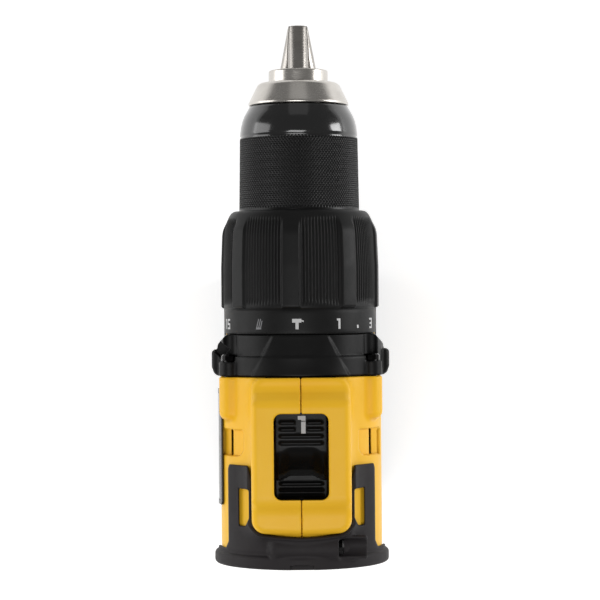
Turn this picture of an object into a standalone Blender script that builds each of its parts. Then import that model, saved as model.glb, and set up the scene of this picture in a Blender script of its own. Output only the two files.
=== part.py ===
"""Cordless hammer drill with a keyless chuck, a torque collar, a two-stage planetary gearbox, a brushless
motor and a battery pack that slides onto the foot.

The origin is the centre of the pack's flat base. +X runs along the spindle to the chuck, +Y to the tool's
left and +Z up. Lengths are in millimetres until mesh_object turns them into metres.
"""

import math

import bmesh
import bpy
from mathutils import Matrix, Vector

MM = 0.001
WELD = 3e-6                  # metres

# ---------------------------------------------------------------- clearances
FIT = 0.3            # between pieces that rest on or in each other
RUN = 0.3            # between pieces that turn or slide past each other
SEAM = 0.1           # each half shell stops this far from the parting plane

# ---------------------------------------------------------------- overall sizes
AXIS_HEIGHT = 162.0          # spindle axis above the ground
HOUSING_REAR = -52.2         # rear face of the shells, under the bumper
HOUSING_FRONT = 11.2         # front face of the shells
BARREL_RADIUS = 28.6         # outside of the motor barrel
WALL = 2.6                   # shell wall
POST_RADIUS = 4.4            # posts inside the shells for their screws
SCREW_RADIUS, HEAD_RADIUS = 1.6, 2.8
BARREL_BORE = BARREL_RADIUS - WALL

# ---------------------------------------------------------------- hump and speed selector
HUMP_RISE = 7.4              # plateau above the barrel
HUMP_TOP = BARREL_RADIUS + HUMP_RISE     # plateau above the spindle axis
HUMP_REAR_TOP = HUMP_TOP - 2.4           # lower step behind the plateau
HUMP_HALF_WIDTH = 17.2
HUMP_REAR = -43.0
HUMP_WALL = 2.2
WINDOW_REAR = -30.4
WINDOW_LENGTH = 29.5
WINDOW_HALF_WIDTH = 9.4
WINDOW_CORNER = 2.6
SELECTOR_TRAVEL = 8.0
SELECTOR_TOP = BARREL_RADIUS + 0.3       # upper face of the sliding plate
SELECTOR_THICKNESS = 1.4

# ---------------------------------------------------------------- bumper
BUMPER_THICKNESS = 1.0       # over the barrel
RIM_PROUD = 2.4              # rim beyond the barrel
RIM_RADIUS = BARREL_RADIUS + RIM_PROUD
RIM_LENGTH = 4.6
BUMPER_BACK = 2.5            # thickness of the rear disc
ARM_FRONT = -20.2
ARM_INNER, ARM_OUTER = 38.5, 64.0        # degrees from the top
BUMPER_FRONT = HUMP_REAR - FIT
TOP_BOSS_X, TOP_BOSS_Z, TOP_BOSS_RADIUS = -47.2, BARREL_RADIUS - 1.4, 4.3
TOP_BOSS_LEFT, TOP_BOSS_RIGHT = 11.3, -12.5

# ---------------------------------------------------------------- gearcase and collar
FLANGE_LENGTH = 14.7
FLANGE_BAND = 8.5            # full-width band at the flange's rear
EAR_RADIUS, EAR_LENGTH, EAR_REACH = 4.6, 9.3, BARREL_RADIUS + 3.0      # rounded ear on each side
LUG_Y, LUG_Z, LUG_RADIUS = BARREL_RADIUS - 3.6, 14.0, 3.6               # lugs for the gearcase screws
LUG_LENGTH, SHELL_LUG_LENGTH = 5.1, 11.0
COLLAR_BAND_RADIUS = 26.9
COLLAR_BAND_LENGTH = 8.9
COLLAR_LENGTH = 43.3
COLLAR_GRIP_RADIUS = 27.2
COLLAR_BORE = 24.6
COLLAR_RIBS = 8
COLLAR_RIB_HEIGHT = 0.7
COLLAR_RIB_ANGLE = 13.0

# ---------------------------------------------------------------- gears
MODULE = 0.85
PRESSURE = math.radians(25)
SUN_TEETH, PLANET_TEETH = 12, 15
RING_TEETH = SUN_TEETH + 2 * PLANET_TEETH
ADDENDUM, DEDENDUM, BACKLASH = 0.8 * MODULE, 1.05 * MODULE, 0.12
PLANETS = 3
PLANET_CENTRE = MODULE * (SUN_TEETH + PLANET_TEETH) / 2
PLANET_WIDTH = 5.5
PIN_RADIUS = 1.9
PIN_CLEARANCE = 0.2
CARRIER_RADIUS = PLANET_CENTRE + 4.0
CARRIER_THICKNESS = 2.2
GEAR_SIDE = 0.2              # gap beside each gear
STAGE_1_REAR = 2.4           # rear faces of the first planets
RING_ROOT = MODULE * RING_TEETH / 2 + DEDENDUM
RING_OUTER = RING_ROOT + 2.6
GEARCASE_BORE = RING_OUTER + FIT
GEARCASE_RADIUS = BARREL_BORE - 1.4

# ---------------------------------------------------------------- motor
SHAFT_RADIUS = 2.5
ROTOR_RADIUS = 12.4
STATOR_REAR, STATOR_LENGTH = -31.5, 20.0
STATOR_BORE = ROTOR_RADIUS + 0.6
STATOR_RADIUS = BARREL_BORE - 0.4
SLOTS = 6
END_TURN = 4.0
FAN_REAR, FAN_LENGTH = -43.0, 6.0
FAN_RADIUS = BARREL_BORE - 5.0
FAN_BLADES = 9

# ---------------------------------------------------------------- spindle and chuck
SPINDLE_RADIUS = 6.0
SNOUT_RADIUS = 17.2
SNOUT_END = 60.0
SLEEVE_RADIUS = 21.4
SLEEVE_WALL = 2.3
SLEEVE_BORE = SLEEVE_RADIUS - SLEEVE_WALL
SLEEVE_REAR, KNURL_FRONT, SLEEVE_FRONT = 66.5, 95.8, 107.0
CHUCK_REAR, CHUCK_FRONT = 67.0, 119.9
CHUCK_NECK_RADIUS = 10.7
CONE_FRONT = 115.4
JAW_RADIUS = 3.6
JAW_TIP, JAW_REAR = 135.7, 104.0
JAW_CROSSING = 134.8         # where the jaws' centre lines meet the spindle axis
JAW_ANGLE = math.radians(12.5)
JAW_CLEARANCE = 0.2
JAW_TRAVEL = 29.7
NUT_REAR, NUT_LENGTH = 91.0, 6.0

# ---------------------------------------------------------------- handle and foot
HANDLE_TOP = AXIS_HEIGHT - 20.0
FOOT_BOTTOM = 44.5
FOOT_TOP = 60.0
FOOT_REAR, FOOT_FRONT = -47.0, 44.0
FOOT_HALF_WIDTH = 30.0
FOOT_PLATE = 2.6
HANDLE_HALF_WIDTH = 16.5
HANDLE_DEPTH = 38.0
GRIP_THICKNESS = 1.3
LEVER_Z, LEVER_HEIGHT = AXIS_HEIGHT - BARREL_RADIUS + 0.6, 4.4       # just below the barrel
TRIGGER_BOTTOM, TRIGGER_HEIGHT = LEVER_Z - 28.0, 23.0
TRIGGER_HALF_WIDTH = 8.4
TRIGGER_TRAVEL = 6.0
TRIGGER_FRONT = 19.0
LEVER_X, LEVER_DEPTH = 2.5, 9.0
LEVER_TRAVEL = 3.5

# ---------------------------------------------------------------- battery pack
PACK_LENGTH, PACK_HALF_WIDTH = 100.0, 31.2
PACK_TOP = FOOT_BOTTOM - FIT
PACK_SPLIT = 24.0
PACK_WALL = 2.3
TOWER_HALF_WIDTH, TOWER_NECK = 17.0, 13.0
TOWER_REAR, TOWER_FRONT = -34.0, 40.0
TOWER_HEIGHT = 7.0
CELL_RADIUS, CELL_LENGTH = 9.2, 65.0
CELL_GAP = 0.6
LATCH_HALF_WIDTH, LATCH_TRAVEL = 9.0, 4.0

FINISHES = {
    "yellow_shell": ((0.90, 0.56, 0.04), 0.42, 0.0),
    "black_rubber": ((0.035, 0.034, 0.035), 0.75, 0.0),
    "black_plastic": ((0.018, 0.018, 0.018), 0.45, 0.0),
    "steel": ((0.62, 0.60, 0.58), 0.25, 1.0),
    "dark_steel": ((0.30, 0.29, 0.28), 0.35, 1.0),
    "black_metal": ((0.012, 0.012, 0.013), 0.25, 0.8),
    "copper": ((0.72, 0.35, 0.18), 0.35, 1.0),
    "cell_wrap": ((0.10, 0.30, 0.45), 0.40, 0.0),
    "clear_lens": ((0.85, 0.88, 0.90), 0.08, 0.0),
}


# ================================================================ modelling helpers
def clear_scene():
    for old in list(bpy.data.objects):
        bpy.data.objects.remove(old)


def finish_material(name):
    """One Principled material for each finish."""
    found = bpy.data.materials.get(name)
    if found:
        return found
    colour, roughness, metallic = FINISHES[name]
    made = bpy.data.materials.new(name)
    made.use_nodes = True
    shader = made.node_tree.nodes["Principled BSDF"]
    shader.inputs["Base Color"].default_value = (*colour, 1)
    shader.inputs["Roughness"].default_value = roughness
    shader.inputs["Metallic"].default_value = metallic
    return made


def mesh_object(name, bm, finish="steel"):
    """Turns a bmesh in millimetres into a scene object in metres, with its faces pointing out."""
    bmesh.ops.remove_doubles(bm, verts=bm.verts, dist=1e-4)
    bmesh.ops.recalc_face_normals(bm, faces=bm.faces)
    bmesh.ops.transform(bm, matrix=Matrix.Scale(MM, 4), verts=bm.verts)
    mesh = bpy.data.meshes.new(name)
    bm.to_mesh(mesh)
    bm.free()
    mesh.materials.append(finish_material(finish))
    obj = bpy.data.objects.new(name, mesh)
    bpy.context.scene.collection.objects.link(obj)
    return obj


def turned(name, profile, finish="steel", segments=36, centre=(0.0, 0.0)):
    """A solid of revolution about the line along X through centre (y, z); profile holds (x, radius)."""
    bm = bmesh.new()
    rim = [bm.verts.new((x, 0, radius)) for x, radius in profile]
    edges = [bm.edges.new(pair) for pair in zip(rim, rim[1:])]
    if profile[0][1] > 0:
        edges.append(bm.edges.new((rim[-1], rim[0])))
    bmesh.ops.spin(bm, geom=rim + edges, axis=(1, 0, 0), cent=(0, 0, 0), steps=segments,
                   angle=math.tau, use_merge=True)
    bmesh.ops.remove_doubles(bm, verts=bm.verts, dist=1e-4)
    bmesh.ops.translate(bm, vec=(0, *centre), verts=bm.verts)
    return mesh_object(name, bm, finish)


def tube(name, rear, front, bore, radius, finish="steel", segments=32):
    return turned(name, [(rear, bore), (rear, radius), (front, radius), (front, bore)], finish, segments)


def lofted(name, sections, finish="steel"):
    """A skin through closed sections that have the same number of points, with a cap at each end."""
    bm = bmesh.new()
    loops = [[bm.verts.new(point) for point in section] for section in sections]
    sides = []
    for near, far in zip(loops, loops[1:]):
        count = len(near)
        for i in range(count):
            sides.append(bm.faces.new((near[i], near[(i + 1) % count], far[(i + 1) % count], far[i])))
    if len(sections) > 2:
        bmesh.ops.triangulate(bm, faces=sides)
    bm.faces.new(loops[0])
    bm.faces.new(loops[-1])
    return mesh_object(name, bm, finish)


def prism(name, outline, low, high, axis="X", finish="steel"):
    """An outline carried along an axis. It holds (y, z) for X, (x, z) for Y and (x, y) for Z."""
    place = {
        "X": lambda a, b, along: (along, a, b),
        "Y": lambda a, b, along: (a, along, b),
        "Z": lambda a, b, along: (a, b, along),
    }[axis]
    return lofted(name, [[place(a, b, along) for a, b in outline] for along in (low, high)], finish)


def block(name, low, high, finish="steel", bevel=0.0, steps=1):
    """A box between two corners, with its edges rounded by bevel."""
    bm = bmesh.new()
    bmesh.ops.create_cube(bm, size=1)
    size = [b - a for a, b in zip(low, high)]
    middle = [(a + b) / 2 for a, b in zip(low, high)]
    bmesh.ops.scale(bm, vec=size, verts=bm.verts)
    bmesh.ops.translate(bm, vec=middle, verts=bm.verts)
    if bevel:
        bmesh.ops.bevel(bm, geom=bm.edges[:], offset=bevel, segments=steps, profile=0.5, affect="EDGES")
    return mesh_object(name, bm, finish)


def rod(name, start, end, radius, finish="steel", segments=20):
    """A round bar between two points."""
    start, end = Vector(start), Vector(end)
    bm = bmesh.new()
    bmesh.ops.create_cone(bm, cap_ends=True, segments=segments, radius1=radius, radius2=radius,
                          depth=(end - start).length)
    turn = (end - start).to_track_quat("Z", "Y").to_matrix().to_4x4()
    bmesh.ops.transform(bm, matrix=Matrix.Translation((start + end) / 2) @ turn, verts=bm.verts)
    return mesh_object(name, bm, finish)


def weld_cuts(mesh):
    """Merges the points that a cut leaves on top of each other."""
    bm = bmesh.new()
    bm.from_mesh(mesh)
    bmesh.ops.remove_doubles(bm, verts=bm.verts, dist=WELD)
    bmesh.ops.dissolve_degenerate(bm, edges=bm.edges, dist=WELD)
    bm.to_mesh(mesh)
    bm.free()


def combine(target, operation, tools):
    """Applies Boolean modifiers to target and removes the tools."""
    for tool in tools:
        modifier = target.modifiers.new(operation.title(), "BOOLEAN")
        modifier.operation = operation
        modifier.solver = "EXACT"
        modifier.object = tool
        bpy.context.view_layer.update()
        graph = bpy.context.evaluated_depsgraph_get()
        made = bpy.data.meshes.new_from_object(target.evaluated_get(graph))
        weld_cuts(made)
        target.modifiers.clear()
        target.data = made
        bpy.data.objects.remove(tool)
    return target


def cut(target, *tools):
    return combine(target, "DIFFERENCE", tools)


def join(target, *tools):
    return combine(target, "UNION", tools)


def keep_inside(target, tool):
    return combine(target, "INTERSECT", [tool])


def copy_of(source, name):
    """A second object with its own mesh."""
    made = source.copy()
    made.data = source.data.copy()
    made.name = name
    bpy.context.scene.collection.objects.link(made)
    return made


def finished(obj, finish):
    obj.data.materials.clear()
    obj.data.materials.append(finish_material(finish))
    obj.data.shade_smooth()
    obj.data.set_sharp_from_angle(angle=math.radians(35))
    return obj


def pivot_at(obj, point):
    """Moves an object's origin to a point in millimetres, with its shape left where it is."""
    target = Vector(point) * MM
    obj.data.transform(Matrix.Translation(obj.location - target))
    obj.location = target
    return obj


def rounded_rectangle(low, high, radius, steps=3):
    """Corner points of a rectangle with rounded corners, anticlockwise."""
    centres = ((high[0] - radius, high[1] - radius, 0), (low[0] + radius, high[1] - radius, 90),
               (low[0] + radius, low[1] + radius, 180), (high[0] - radius, low[1] + radius, 270))
    return [(x + radius * math.cos(math.radians(start + 90 * i / steps)),
             y + radius * math.sin(math.radians(start + 90 * i / steps)))
            for x, y, start in centres for i in range(steps + 1)]


def polar(radius, degrees):
    """(y, z) at an angle from the top, positive towards +Y."""
    angle = math.radians(degrees)
    return radius * math.sin(angle), radius * math.cos(angle)


def sector(inner, outer, start, end, steps=6):
    """Outline of a piece of ring between two angles from the top."""
    angles = [start + (end - start) * i / steps for i in range(steps + 1)]
    return [polar(outer, a) for a in angles] + [polar(inner, a) for a in reversed(angles)]


# ================================================================ gears
def involute(angle):
    return math.tan(angle) - angle


def tooth_half_angle(radius, teeth, pitch_half_angle):
    """Half the angle that an involute tooth takes up at a radius."""
    base = MODULE * teeth / 2 * math.cos(PRESSURE)
    return pitch_half_angle + involute(PRESSURE) - involute(math.acos(min(1.0, base / radius)))


def gear_outline(teeth, radii, play, first=0.0):
    """Teeth as straight runs between involute points; play thins (or, below zero, widens) each tooth."""
    pitch_radius = MODULE * teeth / 2
    half = math.pi / (2 * teeth) - play / (2 * pitch_radius)
    points = []
    for tooth in range(teeth):
        middle = first + math.tau * tooth / teeth
        flank = [(radius, tooth_half_angle(radius, teeth, half)) for radius in radii]
        for radius, spread in flank:
            points.append((radius * math.cos(middle - spread), radius * math.sin(middle - spread)))
        for radius, spread in reversed(flank):
            points.append((radius * math.cos(middle + spread), radius * math.sin(middle + spread)))
    return points


def outer_gear(name, teeth, rear, front, first, finish="dark_steel"):
    pitch = MODULE * teeth / 2
    radii = (pitch - DEDENDUM, pitch + ADDENDUM)
    return prism(name, gear_outline(teeth, radii, BACKLASH, first), rear, front, "X", finish)


def planet_positions():
    """(angle, y, z) of each planet."""
    turns = [math.tau * i / PLANETS for i in range(PLANETS)]
    return [(a, PLANET_CENTRE * math.cos(a), PLANET_CENTRE * math.sin(a)) for a in turns]


def carrier_with_pins(name, rear):
    """A disc in front of the planets, with a pin back through each of them."""
    disc_rear = rear + PLANET_WIDTH + GEAR_SIDE
    disc = turned(name, [(disc_rear, 0), (disc_rear, CARRIER_RADIUS),
                         (disc_rear + CARRIER_THICKNESS, CARRIER_RADIUS), (disc_rear + CARRIER_THICKNESS, 0)],
                  segments=28)
    pins = [rod("pin", (rear + GEAR_SIDE, y, z), (disc_rear + CARRIER_THICKNESS / 2, y, z), PIN_RADIUS, segments=10)
            for _, y, z in planet_positions()]
    return join(disc, *pins)


def gear_stations():
    """Rear faces of the two planet sets, and the front of each carrier's disc."""
    first_disc = STAGE_1_REAR + PLANET_WIDTH + GEAR_SIDE + CARRIER_THICKNESS
    stage_2 = first_disc + 1.6
    second_disc = stage_2 + PLANET_WIDTH + GEAR_SIDE + CARRIER_THICKNESS
    return STAGE_1_REAR, first_disc, stage_2, second_disc


def make_gear_train(line):
    """Ring gear, first carrier with the second sun, and six planets."""
    stage_1, first_disc, stage_2, second_disc = gear_stations()
    ring_rear, ring_front = stage_1 - GEAR_SIDE, second_disc - CARRIER_THICKNESS
    ring = turned("ring_gear", [(ring_rear, 0), (ring_rear, RING_OUTER), (ring_front, RING_OUTER), (ring_front, 0)],
                  segments=32)
    pitch = MODULE * RING_TEETH / 2
    spaces = gear_outline(RING_TEETH, (pitch - ADDENDUM, pitch + DEDENDUM), -BACKLASH)
    cut(ring, prism("spaces", spaces, ring_rear - 1, ring_front + 1))
    on_line(finished(ring, "dark_steel"), line)

    carrier = carrier_with_pins("carrier_1", stage_1)
    join(carrier, outer_gear("sun_2", SUN_TEETH, first_disc - CARRIER_THICKNESS / 2,
                             stage_2 + PLANET_WIDTH - GEAR_SIDE, 0.0))
    on_line(finished(carrier, "dark_steel"), line)

    pattern = outer_gear("planet_pattern", PLANET_TEETH, 0, PLANET_WIDTH, math.pi + math.pi / PLANET_TEETH)
    cut(pattern, rod("bore", (-1, 0, 0), (PLANET_WIDTH + 1, 0, 0), PIN_RADIUS + PIN_CLEARANCE, segments=10))
    finished(pattern, "dark_steel")
    for stage, rear in ((1, stage_1), (2, stage_2)):
        for number, (turn, y, z) in enumerate(planet_positions(), 1):
            planet = bpy.data.objects.new(f"planet_{stage}_{number}", pattern.data)
            bpy.context.scene.collection.objects.link(planet)
            planet.location = (rear * MM, y * MM, z * MM)
            planet.rotation_euler = (turn, 0, 0)
            planet.parent = line
    bpy.data.objects.remove(pattern)


# ================================================================ motor
def make_motor(line):
    stage_1 = gear_stations()[0]
    shaft = turned("motor_shaft", [(-49.0, 0), (-49.0, SHAFT_RADIUS), (stage_1 - 1, SHAFT_RADIUS), (stage_1 - 1, 0)],
                   segments=16)
    join(shaft, outer_gear("sun_1", SUN_TEETH, stage_1 - 1.4, stage_1 + PLANET_WIDTH, 0.0))
    on_line(finished(shaft, "steel"), line)
    rotor_rear = STATOR_REAR - 0.5
    tube_on_line("rotor", rotor_rear, rotor_rear + STATOR_LENGTH + 1, SHAFT_RADIUS + SEAM, ROTOR_RADIUS,
                 "dark_steel", line, 32)

    front = STATOR_REAR + STATOR_LENGTH
    core = tube("stator_core", STATOR_REAR, front, STATOR_BORE, STATOR_RADIUS, segments=30)
    slot_inner, slot_outer = STATOR_BORE + 1.4, STATOR_RADIUS - 3.0
    pitch = 360 / SLOTS
    slot_angles = (13.0, pitch - 13.0)
    for i in range(SLOTS):
        start, end = (pitch * i + a for a in slot_angles)
        cut(core, prism("slot", sector(slot_inner, slot_outer, start, end, 3), STATOR_REAR - 1, front + 1))
    on_line(finished(core, "dark_steel"), line)
    coils = None
    bar = FIT + 0.2
    for i in range(SLOTS):
        start, end = pitch * i + slot_angles[0] + 2, pitch * i + slot_angles[1] - 2
        outline = sector(slot_inner + bar, slot_outer - bar, start, end, 3)
        filling = prism("stator_windings", outline, STATOR_REAR - 1.5, front + 1.5)
        coils = join(coils, filling) if coils else turned_ends(filling, slot_inner + bar, slot_outer - bar, front)
    on_line(finished(coils, "copper"), line)

    fan = turned("fan", [(FAN_REAR, SHAFT_RADIUS + SEAM), (FAN_REAR, FAN_RADIUS), (FAN_REAR + 1.2, FAN_RADIUS),
                         (FAN_REAR + 1.2, 5.0), (FAN_REAR + FAN_LENGTH, 5.0),
                         (FAN_REAR + FAN_LENGTH, SHAFT_RADIUS + SEAM)], segments=24)
    for i in range(FAN_BLADES):
        middle = 360 * i / FAN_BLADES
        outline = [polar(4.5, middle - 4), polar(FAN_RADIUS - 1, middle + 9),
                   polar(FAN_RADIUS - 1, middle + 12), polar(4.5, middle + 4)]
        join(fan, prism("blade", outline, FAN_REAR + 0.6, FAN_REAR + FAN_LENGTH - 0.5))
    on_line(finished(fan, "black_plastic"), line)
    tube_on_line("motor_bearing_rear", -49.0, -44.8, SHAFT_RADIUS + SEAM, 8.0, "steel", line, 20)
    tube_on_line("motor_bearing_front", -3.2, 0.4, SHAFT_RADIUS + SEAM, 7.0, "steel", line, 20)


def turned_ends(filling, inner, outer, front):
    """The end turns that join all the coils in front of and behind the stack."""
    rear_ring = tube("rear_turns", STATOR_REAR - END_TURN, STATOR_REAR - 1, inner, outer, segments=24)
    front_ring = tube("front_turns", front + 1, front + END_TURN, inner, outer, segments=24)
    return join(filling, rear_ring, front_ring)


# ================================================================ gearcase, clutch and collar
def make_gearcase(line):
    second_disc = gear_stations()[3]
    rear = -3.6
    flange_rear = HOUSING_FRONT + FIT
    flange_front = HOUSING_FRONT + FLANGE_LENGTH
    front_wall = second_disc + RUN
    case = turned("gearcase", [
        (rear, SHAFT_RADIUS + 1.0), (rear, GEARCASE_RADIUS), (flange_rear, GEARCASE_RADIUS),
        (flange_rear, BARREL_RADIUS), (flange_rear + FLANGE_BAND, BARREL_RADIUS),
        (flange_rear + FLANGE_BAND + 1.6, BARREL_RADIUS - 1.2), (flange_front - 0.6, COLLAR_BAND_RADIUS - 0.6),
        (flange_front - 0.6, SNOUT_RADIUS), (SNOUT_END, SNOUT_RADIUS), (SNOUT_END, 13.0 + FIT),
        (SNOUT_END - 10.0, 13.0 + FIT), (SNOUT_END - 10.0, SPINDLE_RADIUS + 2), (front_wall, SPINDLE_RADIUS + 2),
        (front_wall, GEARCASE_BORE), (0.8, GEARCASE_BORE), (0.8, 7.0 + FIT), (rear + 0.4, 7.0 + FIT),
        (rear + 0.4, SHAFT_RADIUS + 1.0)])
    seat = flange_rear + LUG_LENGTH
    for side in (-1, 1):
        y = side * (EAR_REACH - EAR_RADIUS)
        join(case, rod("ear", (flange_rear, y, 0), (flange_rear + EAR_LENGTH, y, 0), EAR_RADIUS, segments=16))
    for name, y, z in lug_positions():
        join(case, rod("lug", (flange_rear, y, z), (seat, y, z), LUG_RADIUS, segments=16))
        cut(case, rod("head_room", (seat, y, z), (flange_front + 2, y, z), HEAD_RADIUS + 2 * FIT, segments=12),
            rod("hole", (flange_rear - 1, y, z), (seat + 1, y, z), SCREW_RADIUS + FIT, segments=12))
    on_line(finished(case, "black_plastic"), line)
    for name, y, z in lug_positions():
        tip, head = HOUSING_FRONT - SHELL_LUG_LENGTH + 2, seat + FIT
        screw = turned(name, [(tip, 0), (tip, SCREW_RADIUS), (head, SCREW_RADIUS), (head, HEAD_RADIUS),
                              (head + 1.6, HEAD_RADIUS), (head + 2.2, HEAD_RADIUS - 0.6), (head + 2.2, 0)],
                       segments=12, centre=(y, z))
        on_line(finished(screw, "steel"), line)

    spring_rear, nut_rear = flange_front, 55.8
    clutch_spring(spring_rear + 0.4, nut_rear - 0.4, line)
    on_line(finished(tube("clutch_nut", nut_rear, nut_rear + 3.6, SNOUT_RADIUS + FIT, COLLAR_BORE - FIT), "steel"), line)


def lug_positions():
    corners = ((LUG_Y, LUG_Z), (-LUG_Y, LUG_Z), (-LUG_Y, -LUG_Z), (LUG_Y, -LUG_Z))
    return [(f"gearcase_screw_{i}", y, z) for i, (y, z) in enumerate(corners, 1)]


def clutch_spring(rear, front, line):
    """An open coil spring as a closed tube along a helix."""
    wire, turns, steps = 1.1, 4, 10
    mean = (SNOUT_RADIUS + COLLAR_BORE) / 2
    curve = bpy.data.curves.new("clutch_spring", "CURVE")
    curve.dimensions = "3D"
    curve.bevel_depth = wire * MM
    curve.bevel_resolution = 1
    curve.use_fill_caps = True
    count = int(turns * steps) + 1
    spline = curve.splines.new("POLY")
    spline.points.add(count - 1)
    for i, point in enumerate(spline.points):
        angle = math.tau * i / steps
        along = rear + wire + (front - rear - 2 * wire) * i / (count - 1)
        point.co = (along * MM, mean * MM * math.cos(angle), mean * MM * math.sin(angle), 1)
    spring = bpy.data.objects.new("clutch_spring", curve)
    curve.materials.append(finish_material("steel"))
    bpy.context.scene.collection.objects.link(spring)
    on_line(spring, line)


def make_collar(line):
    rear = HOUSING_FRONT + FLANGE_LENGTH + FIT
    front = rear + COLLAR_LENGTH
    grip_rear = rear + COLLAR_BAND_LENGTH
    hole = SLEEVE_RADIUS + 0.6
    collar = turned("torque_collar", [
        (rear, COLLAR_BORE), (rear, COLLAR_BAND_RADIUS), (grip_rear, COLLAR_BAND_RADIUS),
        (grip_rear, COLLAR_GRIP_RADIUS), (front - 8, COLLAR_GRIP_RADIUS - 0.7), (front - 3, COLLAR_GRIP_RADIUS - 1.6),
        (front, COLLAR_GRIP_RADIUS - 3.4), (front, hole), (front - 3.4, hole), (front - 3.4, COLLAR_BORE)], segments=40)
    for i in range(COLLAR_RIBS):
        middle = 360 * i / COLLAR_RIBS + 6.6
        base, top = COLLAR_GRIP_RADIUS - 1.2, COLLAR_GRIP_RADIUS + COLLAR_RIB_HEIGHT
        half = COLLAR_RIB_ANGLE / 2
        outline = sector(base - 1.0, top, middle - half, middle + half, 2)
        slim = sector(base - 1.0, top - 1.4, middle - half, middle + half, 2)
        stations = ((grip_rear - 0.4, outline), (front - 9, [(y * 0.982, z * 0.982) for y, z in outline]),
                    (front - 5.0, [(y * 0.965, z * 0.965) for y, z in slim]))
        join(collar, lofted("rib", [[(x, y, z) for y, z in loop] for x, loop in stations]))
    on_line(finished(collar, "black_plastic"), line)


# ================================================================ spindle and chuck
def jaw_line_radius(x):
    """Distance from the spindle axis to a jaw's centre line at a station."""
    return (JAW_CROSSING - x) * math.tan(JAW_ANGLE)


def jaw_rod(name, turn, rear, front, radius, segments=24):
    """A bar along a jaw's centre line, at an angle from the top."""
    ends = []
    for x in (rear, front):
        y, z = polar(jaw_line_radius(x), turn)
        ends.append((x, y, z))
    return rod(name, ends[0], ends[1], radius, segments=segments)


def make_spindle_and_chuck(line):
    stage_2, second_disc = gear_stations()[2:]
    spindle = carrier_with_pins("spindle", stage_2)
    nose = NUT_REAR - 7.0
    join(spindle, turned("shaft", [(second_disc - 1, 0), (second_disc - 1, SPINDLE_RADIUS), (nose, SPINDLE_RADIUS),
                                   (nose, 0)], segments=20))
    cut(spindle, rod("screw_hole", (nose - 16, 0, 0), (nose + 1, 0, 0), 2.6, segments=12))
    on_line(finished(spindle, "steel"), line)
    tube_on_line("spindle_bearing", SNOUT_END - 9.4, SNOUT_END - 1.4, SPINDLE_RADIUS + SEAM, 13.0, "steel", line, 28)

    step_rear, step_front = NUT_REAR - 0.6, NUT_REAR + NUT_LENGTH + 0.6
    groove = jaw_line_radius(step_front) + JAW_RADIUS - 0.7
    waist = SLEEVE_BORE - 3.6
    body = turned("chuck_body", [
        (CHUCK_REAR, SPINDLE_RADIUS + FIT), (CHUCK_REAR, SLEEVE_BORE - 0.4), (step_rear, SLEEVE_BORE - 0.4),
        (step_rear, groove), (step_front, groove), (step_front, waist), (SLEEVE_FRONT - 3.4, waist),
        (SLEEVE_FRONT - 1.0, CHUCK_NECK_RADIUS + 0.6), (SLEEVE_FRONT - 1.0, CHUCK_NECK_RADIUS),
        (CHUCK_FRONT - 0.9, CHUCK_NECK_RADIUS), (CHUCK_FRONT, CHUCK_NECK_RADIUS - 0.9), (CHUCK_FRONT, 6.6),
        (nose + 5.0, 6.6), (nose + 5.0, 3.4), (nose + FIT, 3.4), (nose + FIT, SPINDLE_RADIUS + FIT)], segments=32)
    for i in range(3):
        cut(body, jaw_rod("jaw_hole", 120 * i, CHUCK_REAR - 6, CHUCK_FRONT + 4, JAW_RADIUS + JAW_CLEARANCE, 12))
    on_line(finished(body, "steel"), line)
    screw_front = nose + 4.4
    on_line(finished(turned("chuck_screw", [
        (nose - 14, 0), (nose - 14, 2.4), (nose + 0.8, 2.4), (nose + 0.8, 3.1), (screw_front, 3.1), (screw_front, 0)],
        segments=12), "dark_steel"), line)

    sleeve = turned("chuck_sleeve", [
        (SLEEVE_REAR, SLEEVE_BORE), (SLEEVE_REAR, SLEEVE_RADIUS), (KNURL_FRONT, SLEEVE_RADIUS - 0.4),
        (KNURL_FRONT + 3.6, SLEEVE_RADIUS - 0.7), (KNURL_FRONT + 7.2, SLEEVE_RADIUS - 1.7),
        (SLEEVE_FRONT - 1.4, SLEEVE_RADIUS - 2.9), (SLEEVE_FRONT, SLEEVE_RADIUS - 3.8),
        (SLEEVE_FRONT, SLEEVE_BORE - 3.1), (SLEEVE_FRONT - 3.0, SLEEVE_BORE - 3.1), (SLEEVE_FRONT - 3.0, SLEEVE_BORE)],
        segments=40)
    on_line(finished(sleeve, "black_metal"), line)
    cone_rear = SLEEVE_FRONT + FIT
    cone = turned("nose_cone", [
        (cone_rear, CHUCK_NECK_RADIUS + 0.5), (cone_rear, SLEEVE_RADIUS - 3.5), (cone_rear + 0.6, SLEEVE_RADIUS - 3.5),
        (CONE_FRONT - 1.2, CHUCK_NECK_RADIUS + 4.1), (CONE_FRONT, CHUCK_NECK_RADIUS + 3.4),
        (CONE_FRONT, CHUCK_NECK_RADIUS + 0.5)], segments=40)
    on_line(finished(cone, "steel"), line)
    nut_front = NUT_REAR + NUT_LENGTH
    on_line(finished(turned("jaw_nut", [
        (NUT_REAR, jaw_line_radius(NUT_REAR) + JAW_RADIUS + 0.3), (NUT_REAR, SLEEVE_BORE - FIT),
        (nut_front, SLEEVE_BORE - FIT), (nut_front, jaw_line_radius(nut_front) + JAW_RADIUS + 0.3)], segments=32),
        "dark_steel"), line)

    for i in range(3):
        turn = 120 * i
        jaw = jaw_rod(f"jaw_{i + 1}", turn, JAW_REAR, JAW_TIP + 4, JAW_RADIUS, 20)
        reach = 30.0
        apex = polar(0.15, turn)
        outline = [apex, tuple(a + b for a, b in zip(apex, polar(reach, turn + 60))), polar(reach, turn),
                   tuple(a + b for a, b in zip(apex, polar(reach, turn - 60)))]
        keep_inside(jaw, prism("wedge", outline, JAW_REAR - 20, JAW_TIP))
        on_line(finished(jaw, "steel"), line)


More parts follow.
